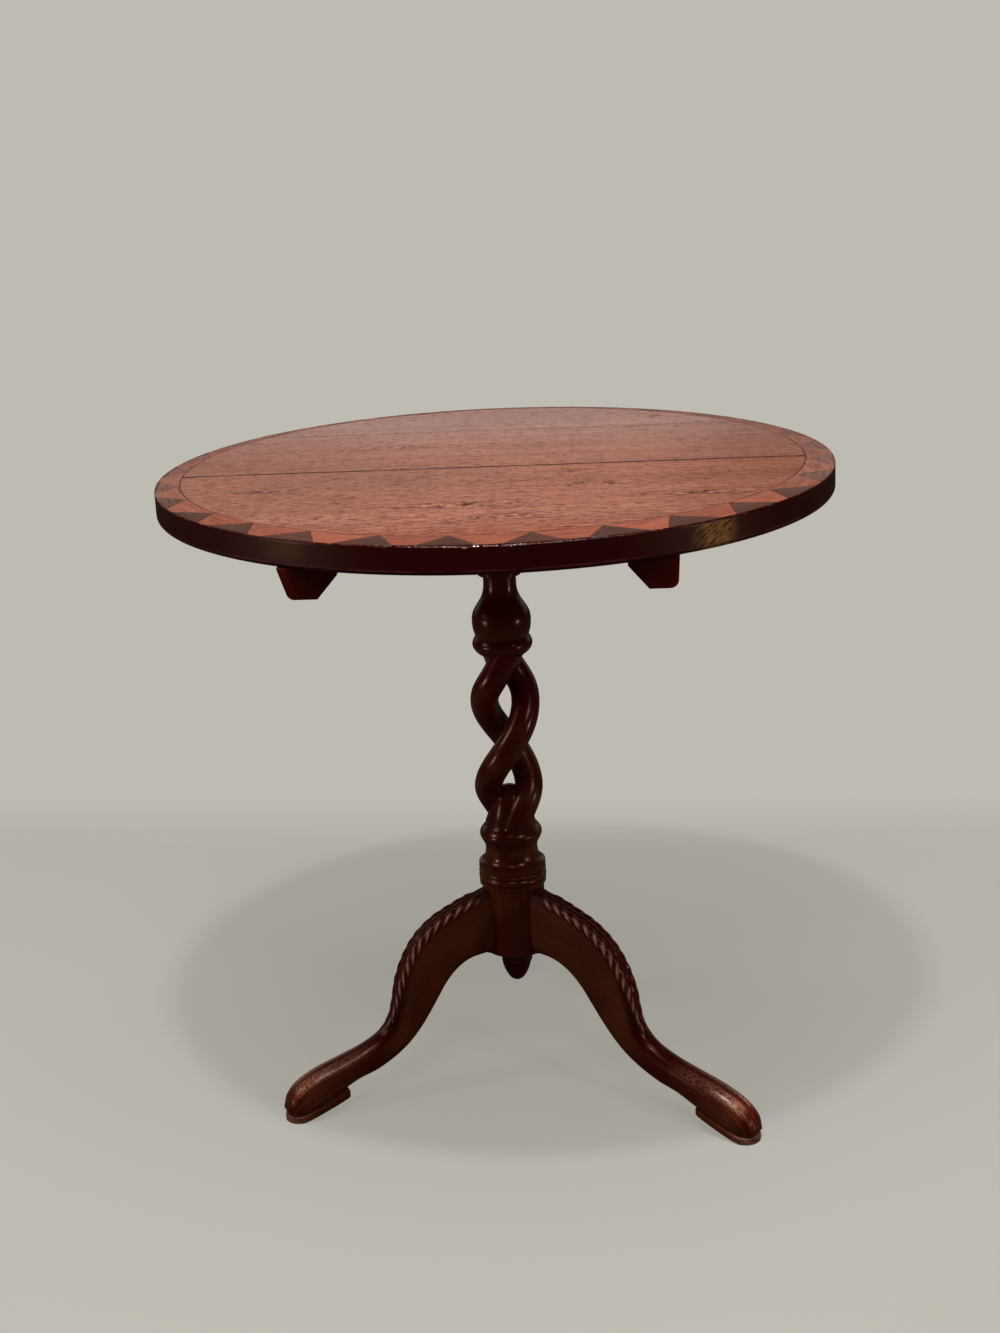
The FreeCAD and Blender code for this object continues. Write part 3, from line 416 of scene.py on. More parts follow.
def tile_finish(name, shades, seed):
    """Small veneers of the border: grain set by each tile, dark varnish lapping over the outer edge."""
    material, bench, shader = finish(name)
    place = piece_place(bench)
    x, y, z = parts_of(place)
    lie = carried(bench, "grain", "Vector")
    along, across, own = parts_of(lie)
    bands = clouds(joined(bench, along * 6.0, across * 70.0, own * 40.0 + seed), 4.0, 0.6)
    lines = clouds(joined(bench, along * 30.0, across * 260.0, own * 40.0 + seed), 3.0, 0.65)
    pores = rise(clouds(joined(bench, along * 90.0, across * 700.0, own * 17.0), 2.0), 0.55, 0.68)
    angle = bench.maths("ARCTAN2", y, x)
    front = fall(y, -0.30, -0.02)
    # Painted sheen: the tiles paler and less contrasted towards the back, standing in for a reflection.
    back_sheen = rise(y, -0.26, -0.02)
    colour = paint(rise(bands, 0.30, 0.70), shades["low"], shades["high"])
    colour = paint(back_sheen * shades["fade_and_sheen"], colour, shades["back_sheen"])
    colour = paint(front * shades["front_weight"], colour, shades["front"])
    colour = shaded(colour, 0.88 + own * 0.24)
    colour = paint(rise(lines, 0.50, 0.64) * 0.55, colour, shades["line"])
    colour = paint(pores * 0.35, colour, shades["line"])
    radius = (x * x + y * y) ** 0.5
    lap = clouds(joined(bench, angle * 26.0, angle * 3.0, z * 200.0), 4.0, 0.65)
    worn_front = fall(abs(angle + math.radians(88.0)), 0.20, 0.42)
    lap_in = 0.0010 + front * 0.0014 + worn_front * 0.0085
    edge = 0.3500 - lap * lap_in
    varnish = rise(radius - edge, -0.0003, 0.0004)
    bare = rise(lap, 0.55, 0.62) * rise(z, 0.6878, 0.6892)
    colour = paint(varnish, colour, paint(bare * 0.4, RIM_MAROON, tone(120, 66, 48)))
    gloss = 0.44 + bands * 0.10 + pores * 0.10
    beads = clouds(joined(bench, angle * 60.0, z * 120.0, 9.0), 3.0, 0.6)
    shine = worn_front * rise(beads, 0.46, 0.56)
    gloss = gloss + (0.30 - shine * 0.18 - gloss) * varnish
    relief = lines * 0.5 - pores * 0.8 + (lap * 1.5 + beads * worn_front * 3.0) * varnish
    lay(shader, {
        "Base Color": colour,
        "Roughness": gloss,
        "Specular IOR Level": 0.30,
        "Specular Tint": POLISH_TINT,
        "Coat Weight": varnish * shine * 0.9,
        "Coat Roughness": 0.08,
        "Normal": raised(relief, 0.35, 0.0004),
    })
    return material


def turned_finish(name):
    """Dark polished wood of the column: grain up and down, browner where the polish has thinned."""
    material, bench, shader = finish(name)
    place = piece_place(bench)
    grain = clouds(stretched(place, 190.0, 190.0, 7.0), 4.0, 0.6)
    pores = rise(clouds(stretched(place, 620.0, 620.0, 34.0), 2.0), 0.60, 0.72)
    thin = clouds(stretched(place, 17.0, 17.0, 9.0), 3.0, 0.55)
    low = fall(part_of(place, "Z"), 0.30, 0.52)
    body = paint(low, tone(88, 5, 4), tone(73, 11, 6))
    colour = paint(rise(thin, 0.44, 0.66) * (0.10 + low * 0.70), body, tone(108, 50, 13))
    colour = paint(rise(grain, 0.46, 0.70) * 0.4, colour, tone(52, 6, 4))
    colour = paint(pores * 0.4, colour, tone(34, 4, 3))
    gloss = 0.17 + thin * 0.10 + pores * 0.10
    relief = grain * 0.5 - pores * 0.6
    lay(shader, {
        "Base Color": colour,
        "Roughness": gloss,
        "Specular IOR Level": 0.40,
        "Specular Tint": (1.0, 0.64, 0.50, 1.0),
        "Normal": raised(relief, 0.25, 0.0003),
    })
    return material


def leg_finish(name):
    """Dark legs: dull brown sides, maroon crown, painted shade near black in the cuts, red-brown feet
    darkened low on the toe by painted shade, and painted highlights, read also as rubbed polish, on the
    feet's shoulders and the leaf crests.
    """
    material, bench, shader = finish(name)
    place = piece_place(bench)
    lie = carried(bench, "grain", "Vector")
    along, across, seed = parts_of(lie)
    crown = carried(bench, "crown")
    relief_cut = carried(bench, "relief")
    toe = carried(bench, "toe")
    crests = carried(bench, "wear_and_highlight")
    grain = clouds(joined(bench, along * 9.0, across * 210.0, seed), 4.0, 0.6)
    pores = rise(clouds(joined(bench, along * 70.0, across * 640.0, seed), 2.0), 0.58, 0.70)
    thin = clouds(stretched(place, 16.0, 16.0, 16.0), 3.0)
    crazed = clouds(stretched(place, 520.0, 520.0, 520.0), 3.0, 0.6)
    side = paint(rise(thin, 0.35, 0.70), tone(76, 23, 3), tone(100, 40, 7))
    top = paint(rise(thin, 0.40, 0.70), tone(66, 7, 4), tone(82, 15, 7))
    colour = paint(crown, side, top)
    streaks = clouds(joined(bench, along * 24.0, across * 300.0, seed + 5.0), 4.0, 0.65)
    foot = paint(rise(streaks, 0.40, 0.62), tone(66, 12, 2), tone(128, 44, 11))
    foot_side = paint(rise(thin, 0.35, 0.70), tone(78, 28, 3), tone(108, 52, 9))
    colour = paint(toe * 0.90, colour, paint(crown, foot_side, foot))
    colour = paint(rise(grain, 0.48, 0.72) * 0.40, colour, tone(44, 9, 4))
    colour = paint(pores * 0.4, colour, tone(24, 5, 3))
    # Painted highlight: a pale granular band along the shoulders of each foot, standing for its broad
    # reflection, read also as rubbed polish.
    shoulder = rise(abs(across), 0.001, 0.005) * fall(abs(across), 0.013, 0.019)
    wear_and_highlight = toe * rise(crazed, 0.36, 0.60) * (0.05 + shoulder * 0.95) * fall(toe, 0.93, 1.0)
    colour = paint(wear_and_highlight * 0.80, colour, tone(222, 152, 118))
    # High points of the carving lighter: rubbed wear, and partly a painted highlight.
    colour = paint(rise(relief_cut, 1.5, 2.3) * 0.25, colour, tone(124, 44, 32))
    # Painted shade: the recesses of the knee's carving near black.
    cuts = crown * rise(abs(across), 0.003, 0.006) * fall(abs(across), 0.013, 0.018)
    cuts = cuts * fall(relief_cut, 0.15, 0.9)
    knee = fall(along, 0.19, 0.22)
    colour = paint(cuts * knee * 0.75, colour, tone(22, 4, 3))
    # Painted shade: the toe darker low down, towards the floor.
    colour = shaded(colour, 1.0 - toe * fall(part_of(place, "Z"), 0.012, 0.036) * 0.42)
    # Painted highlight on the leaf crests and the soles' arrises, read also as rubbed wear.
    colour = paint(crests * 0.80, colour, tone(234, 176, 156))
    gloss = 0.16 + thin * 0.08 + pores * 0.10 + (1.0 - crown) * 0.46
    gloss = gloss + fall(along, 0.020, 0.050) * crown * 0.40
    bumps = grain * 0.5 - pores * 0.6 + (crazed + streaks * 0.8) * toe * 1.6
    polish = toe * (0.05 + crazed * 0.6) * fall(toe, 0.88, 1.0)
    lay(shader, {
        "Base Color": colour,
        "Roughness": gloss,
        "Specular IOR Level": 0.44,
        "Specular Tint": (1.0, 0.54, 0.40, 1.0),
        "Coat Weight": polish,
        "Coat Roughness": 0.22,
        "Coat IOR": 1.8,
        "Normal": raised(bumps, 0.45, 0.0004),
    })
    return material


def framing_finish(name, ends_y):
    """Bearers and block: stained dark where they show, dull and sawn further in."""
    material, bench, shader = finish(name)
    place = piece_place(bench)
    y = part_of(place, "Y")
    rounded = bench.node("ShaderNodeBevel", {"samples": 4}, {"Radius": 0.0011})
    grain = clouds(stretched(place, 240.0, 9.0, 240.0), 4.0, 0.6)
    pores = rise(clouds(stretched(place, 700.0, 46.0, 700.0), 2.0), 0.58, 0.70)
    blotch = clouds(stretched(place, 14.0, 8.0, 14.0), 3.0)
    saw = clouds(stretched(place, 12.0, 420.0, 12.0), 2.0)
    stained = rise(abs(y), ends_y - 0.14, ends_y - 0.08)
    colour = paint(rise(blotch, 0.30, 0.72), tone(46, 20, 12), tone(74, 40, 25))
    colour = paint(stained, colour, paint(rise(blotch, 0.4, 0.7), tone(66, 7, 5), tone(78, 21, 10)))
    colour = paint(rise(grain, 0.46, 0.70) * 0.55, colour, tone(54, 11, 6))
    colour = paint(pores * 0.45, colour, tone(24, 7, 4))
    gloss = 0.52 - stained * 0.20 + blotch * 0.10
    relief = grain * 0.6 + saw * (1.0 - stained) * 0.7 - pores * 0.7
    bump = bench.node("ShaderNodeBump", sockets={
        "Strength": 0.4, "Distance": 0.0005, "Height": relief, "Normal": rounded})
    lay(shader, {"Base Color": colour, "Roughness": gloss, "Specular IOR Level": 0.25,
                 "Specular Tint": POLISH_TINT, "Normal": bump})
    return material


def metal_finish(name, bright, dull, spots, rough):
    """Aged metal: bright where rubbed, dull and spotted elsewhere."""
    material, bench, shader = finish(name)
    place = piece_place(bench)
    rounded = bench.node("ShaderNodeBevel", {"samples": 4}, {"Radius": 0.0004})
    bloom_and_sheen = clouds(stretched(place, 130.0, 130.0, 130.0), 4.0, 0.6)
    fine = clouds(stretched(place, 900.0, 900.0, 900.0), 2.0)
    brushed = clouds(stretched(place, 1800.0, 60.0, 1800.0), 2.0)
    age = rise(bloom_and_sheen, 0.38, 0.66)
    colour = paint(age, bright, dull)
    colour = paint(rise(fine, 0.62, 0.74) * 0.7, colour, spots)
    gloss = rough + age * 0.20 + brushed * 0.10
    bump = bench.node("ShaderNodeBump", sockets={
        "Strength": 0.3, "Distance": 0.0002, "Height": brushed + fine * 0.5, "Normal": rounded})
    lay(shader, {"Base Color": colour, "Metallic": 1.0 - age * 0.25, "Roughness": gloss, "Normal": bump})
    return material


def mesh_piece(name, points, faces, material, smooth_deg):
    """A piece from points in millimetres, smooth but for edges sharper than smooth_deg."""
    mesh = bpy.data.meshes.new(name)
    mesh.from_pydata([tuple(float(v) * MM for v in p) for p in points], [], faces)
    mesh.validate()
    mesh.materials.append(material)
    mesh.polygons.foreach_set("use_smooth", [True] * len(mesh.polygons))
    mesh.set_sharp_from_angle(angle=math.radians(smooth_deg))
    piece = bpy.data.objects.new(name, mesh)
    bpy.context.scene.collection.objects.link(piece)
    return piece


def give(piece, name, kind, values):
    """Stores a value on each point of a piece for its finish to read."""
    layer = piece.data.attributes.new(name, kind, "POINT")
    field = "vector" if kind == "FLOAT_VECTOR" else "value"
    layer.data.foreach_set(field, np.asarray(values, dtype=np.float32).ravel())


def on_circle(radius, degrees):
    a = math.radians(degrees)
    return (radius * math.cos(a), radius * math.sin(a))


def on_border(degrees):
    """Where a line from the middle of the top meets the inner edge of the border."""
    a = math.radians(degrees)
    along = BORDER_SHIFT[0] * math.cos(a) + BORDER_SHIFT[1] * math.sin(a)
    across = BORDER_SHIFT[1] * math.cos(a) - BORDER_SHIFT[0] * math.sin(a)
    return on_circle(along + math.sqrt(BORDER_R ** 2 - across ** 2), degrees)


def straight(start, end, count):
    return [(start[0] + (end[0] - start[0]) * i / count, start[1] + (end[1] - start[1]) * i / count)
            for i in range(count)]


def rim_arc(a0, a1, count):
    return [on_circle(TOP_R, a0 + (a1 - a0) * i / count) for i in range(count)]


def border_arc(a0, a1, count):
    return [on_border(a0 + (a1 - a0) * i / count) for i in range(count)]


def inset(outline, depth):
    """The outline moved inwards; depth may differ from point to point."""
    count = len(outline)
    moved_points = []
    for i in range(count):
        ax, ay = outline[i - 1]
        bx, by = outline[i]
        cx, cy = outline[(i + 1) % count]
        n1 = Vector((ay - by, bx - ax)).normalized()
        n2 = Vector((by - cy, cx - bx)).normalized()
        lean = max(0.35, 1.0 + n1.dot(n2))
        off = (n1 + n2) * (depth[i] / lean)
        moved_points.append((bx + off.x, by + off.y))
    return moved_points


def ring_faces(first, rings, count):
    """Quads between rings of count points each, the first point of all being number first."""
    faces = []
    for ring in range(rings - 1):
        for k in range(count):
            a = first + ring * count + k
            b = first + ring * count + (k + 1) % count
            faces.append((a, b, b + count, a + count))
    return faces


def leg_turned(side, points):
    """Points of a leg that lies along +X, turned to where that leg stands."""
    a = math.radians(LEG_TURN[side])
    x, y, z = np.asarray(points).T
    return np.stack((x * math.cos(a) - y * math.sin(a), x * math.sin(a) + y * math.cos(a), z), axis=1)


def border_tiles(name, dark, material):
    """One ring of border tiles, each with eased edges, a hair's gap and a chipped outer arris."""
    chance = random.Random(DARK_TILE_SEED if dark else LIGHT_TILE_SEED)
    pitch = 360.0 / TILE_COUNT
    half = pitch * DARK_TILE_SHARE / 2.0
    tips = [TILE_FIRST + i * pitch + TILE_WANDER * math.sin(2.4 * i + 0.7) for i in range(TILE_COUNT)]
    points = []
    faces = []
    lies = []
    for i in range(TILE_COUNT):
        middle = TILE_FIRST + i * pitch
        if dark:
            a0, a1 = middle - half, middle + half
            tip = on_border(tips[i])
            outline = rim_arc(a0, a1, 44)
            arc_count = len(outline) + 1
            outline += straight(on_circle(TOP_R, a1), tip, 10)
            outline += straight(tip, on_circle(TOP_R, a0), 10)
        else:
            a0, a1 = middle + half, middle + pitch - half
            last = tips[(i + 1) % TILE_COUNT] + (360.0 if i == TILE_COUNT - 1 else 0.0)
            outline = rim_arc(a0, a1, 14)
            arc_count = len(outline) + 1
            outline += straight(on_circle(TOP_R, a1), on_border(last), 10)
            outline += border_arc(last, tips[i], 24)
            outline += straight(on_border(tips[i]), on_circle(TOP_R, a0), 10)
        count = len(outline)
        on_rim = [k < arc_count for k in range(count)]
        chip = [0.0] * count
        worn_and_highlit = math.exp(-((((a0 + a1) / 2.0 - WORN_AT) / WORN_HALF) ** 4))
        for _ in range(chance.choice((0, 1, 1, 2)) if dark else chance.choice((0, 0, 1))):
            where = chance.uniform(2, arc_count - 3)
            wide = chance.uniform(0.8, 3.2)
            deep = chance.uniform(0.4, 1.5)
            for k in range(arc_count):
                chip[k] = max(chip[k], deep * math.exp(-((k - where) / wide) ** 4))
        rag = [chance.uniform(0.0, 0.16) for _ in range(count)]
        seam = [RIM_SEAM if rim else TILE_SEAM for rim in on_rim]
        base = inset(outline, seam)
        ease = [RIM_EASE + chip[k] * 0.8 + rag[k] + worn_and_highlit * (0.7 + 4.0 * rag[k]) if on_rim[k] else TILE_EASE
                for k in range(count)]
        shoulder = inset(outline, [seam[k] + ease[k] * 0.35 for k in range(count)])
        brow = inset(outline, [seam[k] + ease[k] for k in range(count)])
        flat = inset(outline, [seam[k] + ease[k] + (0.55 + chip[k] * 0.6 if on_rim[k] else 0.22)
                               for k in range(count)])
        lift = chance.uniform(-0.07, 0.05)
        levels = (
            (base, [TOP_Z - TILE_THICK] * count),
            (base, [TOP_Z - 1.0 - chip[k] * 0.6 - worn_and_highlit if on_rim[k] else TOP_Z - 0.5 for k in range(count)]),
            (shoulder, [TOP_Z - 0.55 - chip[k] * 0.4 - worn_and_highlit * 0.5 if on_rim[k] else TOP_Z - 0.25
                        for k in range(count)]),
            (brow, [TOP_Z - 0.18 - worn_and_highlit * 0.15 if on_rim[k] else TOP_Z - 0.08 for k in range(count)]),
            (flat, [TOP_Z + lift] * count),
        )
        first = len(points)
        for ring, heights in levels:
            points += [(p[0], p[1], z) for p, z in zip(ring, heights)]
        faces += ring_faces(first, len(levels), count)
        faces.append(tuple(first + (len(levels) - 1) * count + k for k in range(count)))
        faces.append(tuple(first + k for k in reversed(range(count))))
        turn = math.radians((a0 + a1) / 2.0 + 90.0 + chance.uniform(-14.0, 14.0))
        shade = chance.random()
        slip = chance.uniform(0.0, 3.0)
        for x, y, _ in points[first:]:
            along = (x * math.cos(turn) + y * math.sin(turn)) * MM + slip
            across = (-x * math.sin(turn) + y * math.cos(turn)) * MM
            lies.append((along, across, shade))
    piece = mesh_piece(name, points, faces, material, 50.0)
    give(piece, "grain", "FLOAT_VECTOR", lies)
    return piece


def eased_spline(rows, where):
    """Smooth curve through the rows (Catmull-Rom), read at fractional row numbers."""
    rows = np.vstack((2.0 * rows[0] - rows[1], rows, 2.0 * rows[-1] - rows[-2]))
    k = np.clip(np.floor(where).astype(int), 0, len(rows) - 4)
    t = (where - k)[:, None]
    p0, p1, p2, p3 = rows[k], rows[k + 1], rows[k + 2], rows[k + 3]
    return 0.5 * (2 * p1 + (p2 - p0) * t + (2 * p0 - 5 * p1 + 4 * p2 - p3) * t * t
                  + (3 * p1 - p0 - 3 * p2 + p3) * t ** 3)


def step01(value, low, high):
    t = np.clip((value - low) / (high - low), 0.0, 1.0)
    return t * t * (3.0 - 2.0 * t)


def sole_top(reach, radius):
    """Height of the face between a leg and its sole, which rises from the toe to the heel."""
    lift = np.clip((reach - SOLE_FLAT - radius) / (SOLE_LENGTH - SOLE_FLAT), 0.0, 1.0) * SOLE_LIFT
    return np.where(radius < reach - SOLE_LENGTH, -1.0, SOLE_THICK + lift)


def leaf_relief(s, c):
    """Height of the knee's carving, and where its crests get a painted highlight that stands for glints,
    read also as rubbed wear.

    s runs along the leg, and c round it from the ridge.
    """
    length = np.clip((s - CARVE_START) / (CARVE_END - CARVE_START), 0.0, 1.0)
    off = np.abs(c)
    spread = 1.0 - step01(length, 0.55, 1.0) * 0.72
    beat = s / LEAF_STEP + np.where(c > 0.0, 0.0, 0.35)
    within = beat - np.floor(beat)
    leaves = np.zeros_like(off)
    crests = np.zeros_like(off)
    for older in (0.0, 1.0):
        v = np.clip((within + older) / LEAF_LENGTH, 0.0, 1.0)
        axis = (4.6 + 11.4 * v ** 1.15) * spread
        width = (1.7 + 2.2 * np.sin(np.pi * v) ** 0.8) * (0.45 + 0.55 * spread)
        lift = np.sin(np.pi * np.clip(v * 1.04, 0.0, 1.0)) ** 0.55 * (0.62 + 0.38 * v)
        rounded = np.clip(1.0 - ((off - axis) / (width * 1.25)) ** 2, 0.0, 1.0) ** 0.6
        vein = 0.16 * np.exp(-((off - axis) / 0.55) ** 2)
        leaves = np.maximum(leaves, lift * (rounded - vein))
        # Painted highlight: a short streak along each leaf's crest, where a glint would be.
        crest = np.exp(-((off - axis - 0.4) / 1.0) ** 2 - ((v - 0.58) / 0.21) ** 2)
        crests = np.maximum(crests, crest * (1.0 - 0.6 * (1.0 - spread)))
    rib = np.exp(-(off / (2.1 * spread)) ** 4) * 0.34
    lines = np.exp(-((off - 3.4 * spread) / 0.7) ** 2) * 0.10
    height = LEAF_HEIGHT * (np.maximum(leaves, rib) - lines) * (0.40 + 0.60 * spread)
    ends = step01(s, CARVE_START - 4.0, CARVE_START + 8.0) * (1.0 - step01(s, CARVE_END - 10.0, CARVE_END))
    return height * ends, crests * ends


def carved_leg(side, material):
    """One leg: a rounded section swept from pillar to toe, knee carved, with its dovetail key."""
    reach = LEG_REACH[side]
    rows = LEG_STATIONS.copy()
    for column in (0, 2):
        share = np.clip((rows[:, column] - LEG_ROOT_R) / (STATION_REACH - LEG_ROOT_R), 0.0, 1.0)
        rows[:, column] += (reach - STATION_REACH) * share
    fine = np.linspace(FIRST_STATION, len(rows) - 1, CURVE_STEPS)
    line = eased_spline(rows, fine)
    run = np.concatenate(([0.0], np.cumsum(np.hypot(np.diff(line[:, 0]), np.diff(line[:, 1])))))
    stops = []
    at = 0.0
    while at < run[-1]:
        stops.append(at)
        at += CARVED_STEP if CARVE_START - 6.0 < at < CARVE_END + 2.0 else PLAIN_STEP
    stops.append(run[-1])
    where = np.interp(stops, run, fine)
    rings = eased_spline(rows, where)
    points = []
    grain = []
    crown = []
    toe = []
    angles = np.linspace(0.0, math.pi, SECTION_STEPS)
    ca, sa = np.cos(angles), np.sin(angles)
    for s, (ur, uz, lr, lz, width, square, under) in zip(stops, rings):
        middle = np.array(((ur + lr) / 2.0, (uz + lz) / 2.0))
        arm = np.array(((ur - lr) / 2.0, (uz - lz) / 2.0))
        power = 2.0 / np.where(ca > 0.0, square, under)
        up = np.sign(ca) * np.abs(ca) ** power
        out = np.abs(sa) ** power * width * LEG_HALF_WIDTH
        high = np.hypot(*arm) * up
        arc = np.concatenate(([0.0], np.cumsum(np.hypot(np.diff(high), np.diff(out)))))
        edge = min(CARVED_BAND, arc[-1] * 0.5)
        cs = np.concatenate((np.linspace(0.0, edge, CARVED_POINTS),
                             np.linspace(edge, arc[-1], PLAIN_POINTS)[1:]))
        u = np.interp(cs, arc, up)
        o = np.interp(cs, arc, out)
        u = np.concatenate((u, u[-2:0:-1]))
        o = np.concatenate((o, -o[-2:0:-1]))
        c = np.concatenate((cs, -cs[-2:0:-1]))
        spots = np.stack((middle[0] + arm[0] * u, o, middle[1] + arm[1] * u), axis=1)
        spots[:, 2] = np.maximum(spots[:, 2], sole_top(reach, spots[:, 0]))
        points.append(spots)
        grain.append(np.stack((np.full(len(c), s * MM), c * MM, np.full(len(c), LEG_GRAIN[side])), axis=1))
        crown.append(1.0 - step01(np.abs(c), 15.0, 22.0) * (1.0 - step01(s, 185.0, 245.0)))
        toe.append(np.full(len(c), 0.35 * step01(s, run[-1] - 125.0, run[-1] - 80.0)
                           + 0.65 * step01(s, run[-1] - 85.0, run[-1] - 12.0)))
    around = len(points[0])
    last = points[-1]
    heart = last.mean(axis=0)
    for shrink, push in TOE_CLOSING:
        ring = heart + (last - heart) * shrink
        ring[:, 0] += push
        ring[:, 2] = np.maximum(ring[:, 2], sole_top(reach, ring[:, 0]))
        points.append(ring)
        grain.append(grain[-1])
        crown.append(crown[-1])
        toe.append(toe[-1])
    ring_s = np.concatenate((np.array(stops), np.full(len(TOE_CLOSING), run[-1])))
    grid = np.array(points)
    lengthwise = np.gradient(grid, axis=0)
    girth = np.roll(grid, -1, axis=1) - np.roll(grid, 1, axis=1)
    outward = np.cross(girth, lengthwise)
    outward /= np.maximum(np.linalg.norm(outward, axis=2, keepdims=True), 1e-9)
    centre = grid.mean(axis=1, keepdims=True)
    facing = np.sign(np.sum(outward * (grid - centre), axis=2, keepdims=True))
    facing[facing == 0.0] = 1.0
    outward *= facing
    c_all = np.array(grain)[:, :, 1] / MM
    relief, wear_and_highlight = leaf_relief(np.repeat(ring_s[:, None], around, axis=1), c_all)
    grid = grid + outward * relief[:, :, None]
    flat = grid.reshape(-1, 3)
    ring_count = len(grid)
    faces = ring_faces(0, ring_count, around)
    faces.append(tuple(range(around)))
    faces.append(tuple((ring_count - 1) * around + k for k in reversed(range(around))))
    body_count = len(flat)
    key = []
    for z in (KEY_BOTTOM_Z, KEY_TOP_Z):
        key += [(x, y, z) for x, y in KEY_CORNERS]
    faces += [tuple(body_count + k for k in quad) for quad in (
        (3, 2, 1, 0), (4, 5, 6, 7), (0, 1, 5, 4), (1, 2, 6, 5), (2, 3, 7, 6), (3, 0, 4, 7))]
    turned = leg_turned(side, np.vstack((flat, np.array(key))))
    piece = mesh_piece("leg_" + side + "_carved", turned, faces, material, 75.0)
    tail = len(key)
    lies = np.vstack((np.array(grain).reshape(-1, 3), np.zeros((tail, 3))))
    give(piece, "grain", "FLOAT_VECTOR", lies)
    give(piece, "crown", "FLOAT", np.concatenate((np.array(crown).ravel(), np.zeros(tail))))
    give(piece, "toe", "FLOAT", np.concatenate((np.array(toe).ravel(), np.zeros(tail))))
    give(piece, "relief", "FLOAT", np.concatenate((relief.ravel(), np.zeros(tail))))
    give(piece, "wear_and_highlight", "FLOAT", np.concatenate((wear_and_highlight.ravel(), np.zeros(tail))))
    make_outward(piece)
    return piece


def make_outward(piece):
    """Turns the faces of a closed piece to look outwards."""
    work = bmesh.new()
    work.from_mesh(piece.data)
    bmesh.ops.recalc_face_normals(work, faces=work.faces)
    work.to_mesh(piece.data)
    work.free()


def foot_pad(side, material):
    """Thin sole under a foot: eased arrises, a scribed line, the heel lifted off the floor."""
    toe_x = LEG_REACH[side]
    heel_x = toe_x - SOLE_LENGTH
    wide_x = toe_x - 22.0
    upper = np.array(((heel_x, 14.5), (heel_x + 24.5, 16.8), (wide_x, 17.5), (toe_x - 8.0, 13.8),
                      (toe_x - 2.0, 7.2), (toe_x, 0.0)))
    curve = eased_spline(upper, np.linspace(0.0, len(upper) - 1.0, 46))
    curve[:, 0] = np.minimum(curve[:, 0], toe_x)
    heel = [(heel_x, 0.0), (heel_x, 5.0), (heel_x, 10.5), (heel_x + 0.4, 12.2), (heel_x + 1.4, 13.4),
            (heel_x + 3.0, 14.2)]
    right_half = heel + [tuple(p) for p in curve[4:]]
    outline = [(x, -y) for x, y in right_half] + [(x, y) for x, y in right_half[-2:0:-1]]
    count = len(outline)
    points = []
    for depth, height in SOLE_RINGS:
        for x, y in inset(outline, [depth] * count):
            bottom = float(sole_top(toe_x, np.array(max(x, heel_x)))) - SOLE_THICK
            points.append((x, y, bottom + height))
    faces = ring_faces(0, len(SOLE_RINGS), count)
    top = (len(SOLE_RINGS) - 1) * count
    for k in range(1, count // 2):
        far = count - k
        if far - 1 != k + 1:
            faces.append((k, far, far - 1, k + 1))
            faces.append((top + k + 1, top + far - 1, top + far, top + k))
        else:
            faces.append((k, far, k + 1))
            faces.append((top + k + 1, top + far, top + k))
    faces.append((0, count - 1, 1))
    faces.append((top + 1, top + count - 1, top))
    piece = mesh_piece("foot_pad_" + side + "_sole", leg_turned(side, points), faces, material, 40.0)
    lies = [(x * MM, (y + z) * MM, 2.0) for x, y, z in points]
    give(piece, "grain", "FLOAT_VECTOR", lies)
    give(piece, "crown", "FLOAT", [0.0] * len(points))
    give(piece, "toe", "FLOAT", [0.5 * float(step01(np.array(p[0]), toe_x - 30.0, toe_x)) for p in points])
    give(piece, "relief", "FLOAT", [0.0] * len(points))
    # Painted highlight, read also as rubbed wear, on the sole's arrises near the toe.
    worn_and_highlit = [0.25 * SOLE_HIGHLIGHT_AND_WEAR[k // count] * float(step01(np.array(p[0]), toe_x - 34.0, toe_x - 4.0))
            for k, p in enumerate(points)]
    give(piece, "wear_and_highlight", "FLOAT", worn_and_highlit)
    make_outward(piece)
    return piece


